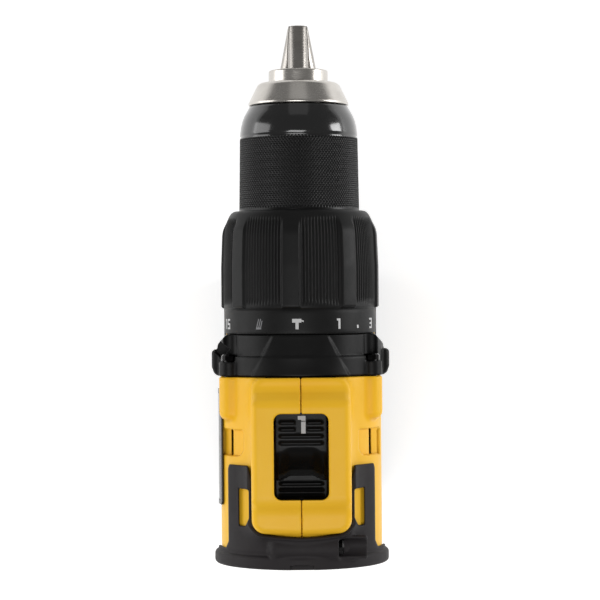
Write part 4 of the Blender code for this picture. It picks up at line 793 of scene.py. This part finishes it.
# %% Cone and ring
cone = rounded_profile([(107.3, 11.2, 0.2), (107.3, 17.9, 0.35), (108.1, 17.95, 0.35), (114.6, 14.7, 0.5),
                        (115.4, 13.6, 0.5), (115.4, 11.2, 0.2)])
points, faces = turned(cone, 192)
piece = make_piece("nose_cone_turned", points, faces[:, ::-1], bright_steel, "sleeve_group", ("nose_cone",),
                   sharp=60)


def chuck_nose(x, y, z):
    """The chuck body: stepped cylinder, bored for the screw, with three slanting round holes for the jaws."""
    r = np.hypot(y, z - AXIS)
    body = meet(r - 18.7, slab(x, 67.0, 90.4), 0.4)
    body = np.minimum(body, meet(r - 11.6, slab(x, 88.0, 100.0)))
    body = np.minimum(body, meet(r - 15.4, slab(x, 97.6, 103.4), 0.4))
    body = np.minimum(body, meet(r - 10.6, slab(x, 100.0, 119.9), 0.7))
    body = cut(body, meet(r - 6.6, 100.0 - x), 0.4)
    body = cut(body, np.minimum(meet(r - 6.3, x - 90.0), r - 3.4), 0.2)
    for i in range(3):
        body = cut(body, jaw_bar(x, y, z, i, 3.75), 0.2)
    return body


def jaw_bar(x, y, z, i, radius):
    """Distance to the endless round bar along jaw i's centre line."""
    turn, lean = math.tau * i / 3, math.radians(12.5)
    up = y * math.sin(turn) + (z - AXIS) * math.cos(turn)
    sideways = y * math.cos(turn) - (z - AXIS) * math.sin(turn)
    return np.hypot(up * math.cos(lean) - (134.8 - x) * math.sin(lean), sideways) - radius


points, faces, normals = skin(chuck_nose, steps((66, 121, 0.5)), steps((-19.4, 19.4, 0.5)),
                              steps((AXIS - 19.4, AXIS + 19.4, 0.5)))
piece = make_piece("chuck_body_turned", points, faces, bright_steel, "spindle_group", ("chuck_body",), normals)


def jaw(i):
    """A round bar cut to a 120 degree wedge on the spindle axis, with a chamfered tip."""
    def field(x, y, z):
        turn = math.tau * i / 3
        up = y * math.sin(turn) + (z - AXIS) * math.cos(turn)
        sideways = np.abs(y * math.cos(turn) - (z - AXIS) * math.sin(turn))
        wedge = 0.15 - (up * math.sin(math.radians(60)) - sideways * math.cos(math.radians(60)))
        bar = meet(jaw_bar(x, y, z, i, 3.6), slab(x, 104.0, 135.7), 0.35)
        return meet(bar, wedge, 0.25)
    return field


for i in range(3):
    a = math.tau * i / 3
    middle = np.array([4.0 * math.sin(a), AXIS + 4.0 * math.cos(a)])
    points, faces, normals = skin(jaw(i), steps((103, 136.5, 0.3)), steps((middle[0] - 8, middle[0] + 8, 0.3)),
                                  steps((middle[1] - 8, middle[1] + 8, 0.3)))
    piece = make_piece(f"jaw_{i + 1}_ground", points, faces, jaw_steel, f"jaw_{i + 1}_body",
                       (f"jaw_{i + 1}",), normals)

# %% [markdown]
# ## The speed selector
# A sliding button of black nylon with cross ridges and a raised bar for the thumb. Its top is a height over
# the x, y plane: a sum of ridges, a dip and the bar, each a function of x, all faded out near the edges. The
# plate's outline is swept from that top, round the sides and under, so the piece is one closed skin.


# %% Selector
def bump_at(x, centre, width):
    """A smooth bell of height 1."""
    return np.exp(-((x - centre) / width) ** 2)


def selector_height(x, y):
    """Height above the spindle: flat plate, cross ridges, a dip and the thumb bar, which bends back at its
    ends."""
    edge = 1 - smooth_step(np.abs(y), 7.2, 8.7)
    top = 28.45 + 0 * x + 0 * y
    for centre in (-4.3, -6.6, -9.0, -11.4):
        gap = smooth_step(np.abs(y), 1.9, 2.3) if centre > -8 else 1.0
        top = top + 0.5 * bump_at(x, centre, 0.62) * gap * (1 - smooth_step(np.abs(y), 6.6, 8.0))
    bend = 1.6 * smooth_step(np.abs(y), 3.4, 7.6)
    crest = -21.8 - bend
    ramp = smooth_step(x, crest - 0.7, crest + 0.5) * np.clip((crest + 9.5 - x) / 8.3, 0, 1) ** 1.8
    top = top + (7.1 - 0.25 * bend) * ramp * (1 - 0.85 * smooth_step(np.abs(y), 7.9, 8.7))
    top = top + 0.35 * (bump_at(x, crest + 0.5, 0.28) + bump_at(x, crest + 1.9, 0.35)) * edge
    for centre in (-25.3, -27.4, -29.3):
        top = top + 0.7 * bump_at(x, centre, 0.55) * (1 - smooth_step(np.abs(y), 6.6, 8.0))
    return np.minimum(top, 35.95)


SELECTOR_ROWS, SELECTOR_HALF = 190, 61     # stations along x, points across the top


def selector_skin():
    """Each row is a loop at one station x: across the top from -Y to +Y, down the side and back underneath."""
    x = np.linspace(-38.9, -0.25, SELECTOR_ROWS)
    across = np.linspace(-9.05, 9.05, SELECTOR_HALF)
    top = selector_height(x[:, None], across[None, :])
    top -= 0.5 * (1 - np.sqrt(np.clip(1 - ((np.abs(across) - 8.6) / 0.45).clip(0, 1) ** 2, 0, 1)))[None, :]
    under = across[::-1]
    y = np.broadcast_to(np.concatenate((across, under)), (len(x), 2 * SELECTOR_HALF))
    z = AXIS + np.concatenate((top, np.full((len(x), SELECTOR_HALF), 27.6)), 1)
    points = np.stack((np.broadcast_to(x[:, None], y.shape), y, z), -1).reshape(-1, 3)
    return points, grid_faces(len(x), 2 * SELECTOR_HALF)


def close_ends(points, faces, rows, columns):
    """Two fans, each to a new point in the middle of an end loop; the quads are split so all are triangles."""
    first, last = points[:columns].mean(0), points[-columns:].mean(0)
    here = np.arange(columns)
    beside = (here + 1) % columns
    base = (rows - 1) * columns
    count = len(points)
    triangles = np.vstack((np.stack((beside, here, np.full(columns, count)), 1),
                           np.stack((base + here, base + beside, np.full(columns, count + 1)), 1)))
    quads = np.vstack((faces[:, [0, 1, 2]], faces[:, [0, 2, 3]]))
    return np.vstack((points, first, last)), np.vstack((quads, triangles))


points, faces = selector_skin()
points, faces = close_ends(points, faces, SELECTOR_ROWS, 2 * SELECTOR_HALF)
piece = make_piece("selector_slide", points, faces[:, ::-1], selector_nylon, "selector", ("speed_selector",),
                   sharp=35)

# %% [markdown]
# ## Trigger, lever, lamp and label
# The trigger is a hook-shaped button; its face is hollow for the finger. It and the other small blocks are
# fields too, because each is a box whose edges are rounded by different amounts.


# %% Small pieces
def small(name, field, low, high, cell, finish, body, nodes, slot_name):
    """A field skinned on even cells over the box from low to high, as one piece."""
    lines = [np.arange(a - cell, b + 2 * cell, cell) for a, b in zip(low, high)]
    points, faces, normals = skin(field, *lines)
    piece = make_piece(name, points, faces, finish, body, nodes, normals)
    return piece


def trigger(x, y, z):
    """A block whose front is a parabola of z, hollow for the finger, and a shallower one of y."""
    face = 16.6 + 0.012 * (z - 114.0) ** 2 - 0.010 * y ** 2
    front = (x - np.minimum(face, 19.0)) * 0.93
    body = meet(meet(front, np.abs(y) - 8.4, 2.6), slab(z, 106.0, 129.0), 1.4)
    return meet(body, -1.0 - x, 0.3)


def lever(x, y, z):
    """A flat bar across the tool, with a groove near each end."""
    body = meet(meet(np.abs(y) - 23.5, slab(x, -2.0, 7.0), 2.2), np.abs(z - 134.0) - 2.2, 0.9)
    grooves = meet(np.abs(np.abs(y) - 21.9) - 0.35, np.abs(z - 134.0) * -1 + 1.8)
    return cut(body, meet(grooves, 20 - np.abs(y)), 0.2)


def label_strip(x, y, z):
    """A thin layer round the barrel inside a rounded rectangle of x and angle, with its middle sunk."""
    r, turn = np.hypot(y, z - AXIS), np.degrees(np.arctan2(z - AXIS, y))
    plan = plate(x, turn * 0.5, (-34.2, -9.0), (6.8, 9.0), 1.6)
    body = meet(meet(slab(r, 28.75, 29.6), plan, 0.2), -y)
    recess = meet(plate(x, turn * 0.5, (-32.6, -7.6), (5.2, 7.6), 1.0), 29.42 - r)
    return cut(body, recess, 0.1)


def lens(x, y, z):
    """A low dome on a wider round base."""
    r = np.hypot(x - 25, y)
    dome = meet(r - 4.3, z - 60.6 + 0.03 * r ** 2, 0.6)
    return meet(np.minimum(dome, meet(r - 5.6, z - 57.2)), 56.1 - z, 0.2)


small("trigger_button", trigger, (-1, -8.4, 106), (19, 8.4, 129), 0.45, black_nylon, "trigger_body",
      ("trigger",), "black_plastic")
small("direction_lever_bar", lever, (-2, -23.5, 131.8), (7, 23.5, 136.2), 0.4, black_nylon, "direction",
      ("direction_lever",), "black_plastic")
small("label_strip", label_strip, (-34.2, 27, AXIS - 9.5), (6.8, 29.7, AXIS + 9.5), 0.35, gloss_label,
      "housing", ("nameplate",), "black_plastic")
small("lamp_window", lens, (19, -5.7, 56), (31, 5.7, 60.7), 0.3, clear_pc, "housing", ("lamp_lens",),
      "clear_lens")

# %% [markdown]
# ## The battery pack
# Two mouldings in black polycarbonate and ABS: a tray and a lid with the rails. Grip flutes, a parting line
# and
# chamfered corners are what such a pack shows from outside. The latch and the charge button are separate.


# %% Pack
def pack_block(x, y, z):
    """The pack's outer block, corners 7 mm in plan, softened top and bottom, with flutes along each side."""
    plan = plate(x, y, (-50, -31.2), (50, 31.2), 7.0)
    body = meet(meet(plan, z - 44.2, 2.6), -z, 3.0)
    flute = meet(np.hypot((np.abs(x + 4) % 6.0) - 3.0, (np.abs(y) - 32.6)) - 2.2, slab(z, 8.0, 20.5), 1.0)
    flute = meet(flute, np.abs(x + 4) - 23.5)
    body = cut(body, flute, 0.5)
    panel = meet(plate(x, z, (-30, 28.2), (22, 39.5), 2.0), 30.5 - np.abs(y))
    return cut(body, panel, 0.4)


def pack_tray(x, y, z):
    """The lower part of the block, hollowed from above."""
    room = meet(meet(plate(x, y, (-47.7, -28.9), (47.7, 28.9), 4.7), 2.3 - z, 1.0), z - 60)
    body = meet(pack_block(x, y, z), z - 24.0, 0.5)
    return cut(body, room, 0.3)


def pack_lid(x, y, z):
    """The upper part with its rails, contact slots, latch pocket and button hole."""
    body = meet(pack_block(x, y, z), 24.3 - z, 0.5)
    room = meet(plate(x, y, (-47.7, -28.9), (47.7, 28.9), 4.7), z - 41.9, 1.0)
    body = cut(body, room, 0.3)
    neck = meet(slab(y, -13, 13), slab(z, 42.5, 49.0), 0.3)
    head = meet(slab(y, -17, 17), slab(z, 47.4, 51.2), 0.5)
    body = join(body, meet(np.minimum(neck, head), slab(x, -34, 32), 0.4), 0.2)
    contact = meet(np.abs(np.abs(np.abs(y) - 7.0) - 3.5) - 1.2, meet(46.0 - z, x + 10.0))
    pocket = meet(meet(np.abs(y) - 9.3, 32.3 - x), 23.9 - z, 0.3)
    button = np.hypot(y, z - 33.0) - 4.3
    return cut(cut(cut(body, contact, 0.2), pocket, 0.4), meet(button, x + 44), 0.3)


def latch(x, y, z):
    """A ridged face, an arm behind it and a tooth on the arm."""
    face = meet(meet(slab(x, 46.8, 50.6), np.abs(y) - 9.0, 1.0), slab(z, 28.2, 43.6), 0.8)
    arm = meet(meet(slab(x, 32.6, 48.0), np.abs(y) - 9.0), slab(z, 39.2, 43.2), 0.3)
    tooth = meet(meet(slab(x, 34.5, 38.5), np.abs(y) - 9.0), slab(z, 42.2, 46.2), 0.4)
    ridges = meet(np.abs((z % 2.4) - 1.2) - 0.45, meet(50.0 - x, slab(z, 30.0, 38.2)))
    return cut(np.minimum(np.minimum(face, arm), tooth), meet(ridges, np.abs(y) - 7.4), 0.25)


def charge_key(x, y, z):
    """A round button with a ring groove in its face."""
    r = np.hypot(y, z - 33.0)
    body = meet(r - 4.0, slab(x, -50.6, -46.6), 0.6)
    return cut(body, meet(np.abs(r - 2.2) - 0.3, x + 50.35), 0.15)


small("pack_tray_case", pack_tray, (-50, -31.2, 0), (50, 31.2, 24), 0.85, pack_abs, "battery", ("pack_tray",),
      "black_plastic")
small("pack_lid_case", pack_lid, (-50, -31.2, 24.3), (50, 31.2, 51.2), 0.8, pack_abs, "battery", ("pack_lid",),
      "black_plastic")
small("pack_latch_button", latch, (32.6, -9, 28.2), (50.6, 9, 46.2), 0.4, black_nylon, "latch",
      ("pack_latch",), "black_plastic")
small("charge_button_cap", charge_key, (-50.6, -4, 29), (-46.6, 4, 37), 0.25, soft_tpe, "charge_key",
      ("charge_button",), "black_rubber")

# %% [markdown]
# ## Printed marks
# The setting numbers are pad printed on the collar's band. A pad print is a film a few hundredths of a
# millimetre thick. Each mark is drawn flat from strokes, as wide as it is on the tool, split into short pieces
# and wrapped round the band, so it rides with the collar. The figure on the selector is made the same way.


# %% Marks
def bar(a0, b0, a1, b1, w=0.62):
    """A straight stroke from (a0, b0) to (a1, b1), w wide, as its four corners."""
    run, rise = a1 - a0, b1 - b0
    size = math.hypot(run, rise)
    da, db = -rise / size * w / 2, run / size * w / 2
    return [(a0 + da, b0 + db), (a0 - da, b0 - db), (a1 - da, b1 - db), (a1 + da, b1 + db)]


GLYPHS = {
    "1": [bar(0.25, 0.0, 0.25, 3.6, 0.8), bar(-0.75, 3.25, -0.1, 3.25, 0.7)],
    "3": [bar(-1.0, 3.29, 1.2, 3.29), bar(-0.7, 1.8, 0.6, 1.8), bar(-1.0, 0.31, 1.2, 0.31),
          bar(0.9, 0.62, 0.9, 2.98)],
    "5": [bar(-1.2, 3.29, 1.2, 3.29), bar(-0.9, 1.49, -0.9, 2.98), bar(-0.6, 1.8, 1.2, 1.8),
          bar(0.9, 0.62, 0.9, 1.49), bar(-1.2, 0.31, 1.2, 0.31)],
    "7": [bar(-1.2, 3.29, 1.2, 3.29), bar(0.85, 2.98, -0.3, 0.0)],
    "9": [bar(-1.2, 3.29, 1.2, 3.29), bar(-0.9, 2.11, -0.9, 2.98), bar(-1.2, 1.8, 0.6, 1.8),
          bar(0.9, 0.62, 0.9, 2.98), bar(-1.2, 0.31, 1.2, 0.31)],
    "dot": [bar(0, 0.2, 0, 1.3, 0.8)],
    "hammer": [bar(-1.7, 2.95, 1.5, 2.95, 1.3), bar(0.0, 0.0, 0.0, 2.3, 1.1), bar(1.5, 3.0, 2.3, 2.7, 0.5)],
    "drill": [bar(-0.9, 0.0, 0.1, 3.6, 0.36), bar(-0.1, 0.0, 0.9, 3.6, 0.36), bar(0.7, 0.0, 1.5, 3.0, 0.36),
              bar(-1.0, 0.35, 1.1, 0.35, 0.7)],
}


def stroke_mesh(strokes, place, lift=0.05, cells=6):
    """Each stroke becomes a thin closed slab. Its long sides are put on the surface by place(a, b, lift), once
    lifted and once not, and the four rows of points are joined round."""
    t = np.linspace(0, 1, cells + 1)
    points, faces = [], []
    for corners in strokes:
        c = np.array(corners)
        long_side = c[0] * (1 - t[:, None]) + c[3] * t[:, None], c[1] * (1 - t[:, None]) + c[2] * t[:, None]
        loop = [place(long_side[0][:, 0], long_side[0][:, 1], lift),
                place(long_side[1][:, 0], long_side[1][:, 1], lift),
                place(long_side[1][:, 0], long_side[1][:, 1], 0.0),
                place(long_side[0][:, 0], long_side[0][:, 1], 0.0)]
        grid = np.stack(loop, 1).reshape(-1, 3)
        start = sum(len(p) for p in points)
        side_faces = grid_faces(cells + 1, 4)
        ends = np.array([[3, 2, 1, 0], [cells * 4, cells * 4 + 1, cells * 4 + 2, cells * 4 + 3]])
        points.append(grid)
        faces.append(np.vstack((side_faces, ends)) + start)
    return np.vstack(points), np.vstack(faces)


def on_band(turn, x0, radius):
    """Puts (a, b) on the band: a runs towards -Y at the top, b runs forward."""
    def place(a, b, lift):
        angle = math.radians(turn) - a / radius
        reach = radius + lift
        return np.stack((x0 + b, reach * np.sin(angle), AXIS + reach * np.cos(angle)), 1)
    return place


marks = [(2.3, ("hammer",)), (32.5, ("drill",))]
for number in range(1, 16):
    turn = -(29.8 + 18.45 * (number - 1))
    marks.append((turn, tuple(str(number)) if number % 2 else ("dot",)))
mark_points, mark_faces = [], []
for turn, glyphs in marks:
    for place_in_row, glyph in enumerate(glyphs):
        shift = (place_in_row - (len(glyphs) - 1) / 2) * 2.9
        strokes = [[(a + shift, b) for a, b in corners] for corners in GLYPHS[glyph]]
        if glyph == "drill":
            drill = stroke_mesh(strokes, on_band(turn, 27.9, 26.93))
            continue
        points, faces = stroke_mesh(strokes, on_band(turn, 27.9, 26.93))
        mark_faces.append(faces + sum(len(p) for p in mark_points))
        mark_points.append(points)
make_piece("collar_numbers", np.vstack(mark_points), np.vstack(mark_faces), pad_print, "collar")
make_piece("collar_drill_mark", *drill, dim_print, "collar")


def on_selector(a, b, lift):
    """Puts (a, b) on the selector's own height."""
    y, x = -a, b
    return np.stack((x, y, AXIS + selector_height(x, y) + 0.02 + lift), 1)


figure = [bar(0.8, -8.0, 0.8, -3.6, 1.5), bar(0.8, -3.9, 0.8, -1.9, 1.5), bar(-1.1, -2.6, 0.05, -2.6, 1.3)]
make_piece("selector_figure", *stroke_mesh(figure, on_selector, cells=24), pad_print, "selector")

# %% [markdown]
# ## Finishes for the frame's own pieces
# Gears, shafts, bearings, cells and screws keep their CAD shape. They are turned or toothed solids with plain
# faces and are mostly out of sight inside the tool, so only their surface is added here.

# %% Inner pieces
INNER = {
    gear_steel: ("planet_1_1", "planet_1_2", "planet_1_3", "planet_2_1", "planet_2_2", "planet_2_3",
                 "ring_gear", "carrier_1", "jaw_nut", "clutch_nut"),
    bright_steel: ("motor_shaft", "spindle", "motor_bearing_front", "motor_bearing_rear", "spindle_bearing"),
    jaw_steel: ("clutch_spring",),
    black_oxide: ("chuck_screw", "gearcase_screw_1", "gearcase_screw_2", "gearcase_screw_3",
                  "gearcase_screw_4",
                  "shell_screw_1", "shell_screw_2", "shell_screw_3", "shell_screw_4", "shell_screw_5"),
    laminations: ("stator_core", "rotor"),
    copper_wire: ("stator_windings",),
    black_nylon: ("fan", "switch_module", "tool_terminals"),
    cell_wrap: ("cell_1", "cell_2", "cell_3", "cell_4", "cell_5"),
}
for finish, names in INNER.items():
    for name in names:
        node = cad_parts[name]
        node.data.materials.clear()
        node.data.materials.append(finish)
print("finished", sum(len(names) for names in INNER.values()), "inner pieces")

# %% [markdown]
# ## Camera, light and floor
# The tool is seen from straight above, with the chuck at the top of the frame, through a long lens so that the
# sides stay nearly parallel. A broad box on each side draws a soft edge along the round parts and leaves their
# middle dark. A box overhead fills the flat tops, and a weak one in front lifts the steel cone.

# %% Camera and light
camera = bpy.data.objects.new("camera", bpy.data.cameras.new("camera"))
camera.data.lens, camera.data.sensor_width = 134.4, 36.0
camera.data.clip_start, camera.data.clip_end = 0.05, 20.0
camera.location = (38 * MM, 0.0, (AXIS + 800) * MM)
camera.rotation_euler = (0.0, 0.0, math.radians(-90.475))
bpy.context.scene.collection.objects.link(camera)
bpy.context.scene.camera = camera


def soft_light(name, place, target, size, watts):
    """A square soft box at place, turned to face target; both in metres."""
    lamp = bpy.data.lights.new(name, "AREA")
    lamp.shape, lamp.size, lamp.energy = "SQUARE", size, watts
    obj = bpy.data.objects.new(name, lamp)
    toward = np.asarray(target, float) - np.asarray(place, float)
    toward /= np.linalg.norm(toward)
    yaw, tilt = math.atan2(toward[1], toward[0]), math.acos(-toward[2])
    obj.rotation_euler = (tilt, 0.0, yaw - math.pi / 2)
    obj.location = place
    bpy.context.scene.collection.objects.link(obj)


soft_light("right_box", (0.25, -1.05, 0.36), (0.03, 0, 0.15), 0.45, 5.5)
soft_light("left_box", (0.12, 1.05, 0.34), (0.03, 0, 0.15), 0.8, 5.0)
soft_light("front_box", (1.20, 0.0, 0.74), (0.03, 0, 0.15), 0.7, 0.4)
soft_light("top_box", (-0.35, 0.10, 1.30), (0.03, 0, 0.15), 0.7, 6.5)
world = bpy.data.worlds.new("studio")
world.use_nodes = True
world.node_tree.nodes["Background"].inputs["Color"].default_value = (1.0, 1.0, 1.0, 1.0)
world.node_tree.nodes["Background"].inputs["Strength"].default_value = 0.24
bpy.context.scene.world = world
bpy.context.scene.view_settings.view_transform = "Standard"
print("camera and four soft boxes placed")

# %% Floor
floor_points = np.array([[-4000, -4000, 0], [4000, -4000, 0], [4000, 4000, 0], [-4000, 4000, 0]], float)
floor_mesh = bpy.data.meshes.new("floor")
floor_mesh.from_pydata((floor_points * MM).tolist(), [], [(0, 1, 2, 3)])
floor_finish, _, floor_shader, _ = blank_finish("painted_white_floor", Roughness=0.9)
floor_shader.inputs["Base Color"].default_value = (0.9, 0.9, 0.9, 1.0)
floor_shader.inputs["Emission Color"].default_value = (1.0, 1.0, 1.0, 1.0)
floor_shader.inputs["Emission Strength"].default_value = 0.5
floor_mesh.materials.append(floor_finish)
floor = bpy.data.objects.new("floor", floor_mesh)
bpy.context.scene.collection.objects.link(floor)
floor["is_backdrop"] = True
print("floor placed")

# %% Finish
visual_box = [[float(value) for value in corner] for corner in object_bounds()]
print("visual box in mm:", [[round(value / MM, 1) for value in corner] for corner in visual_box])
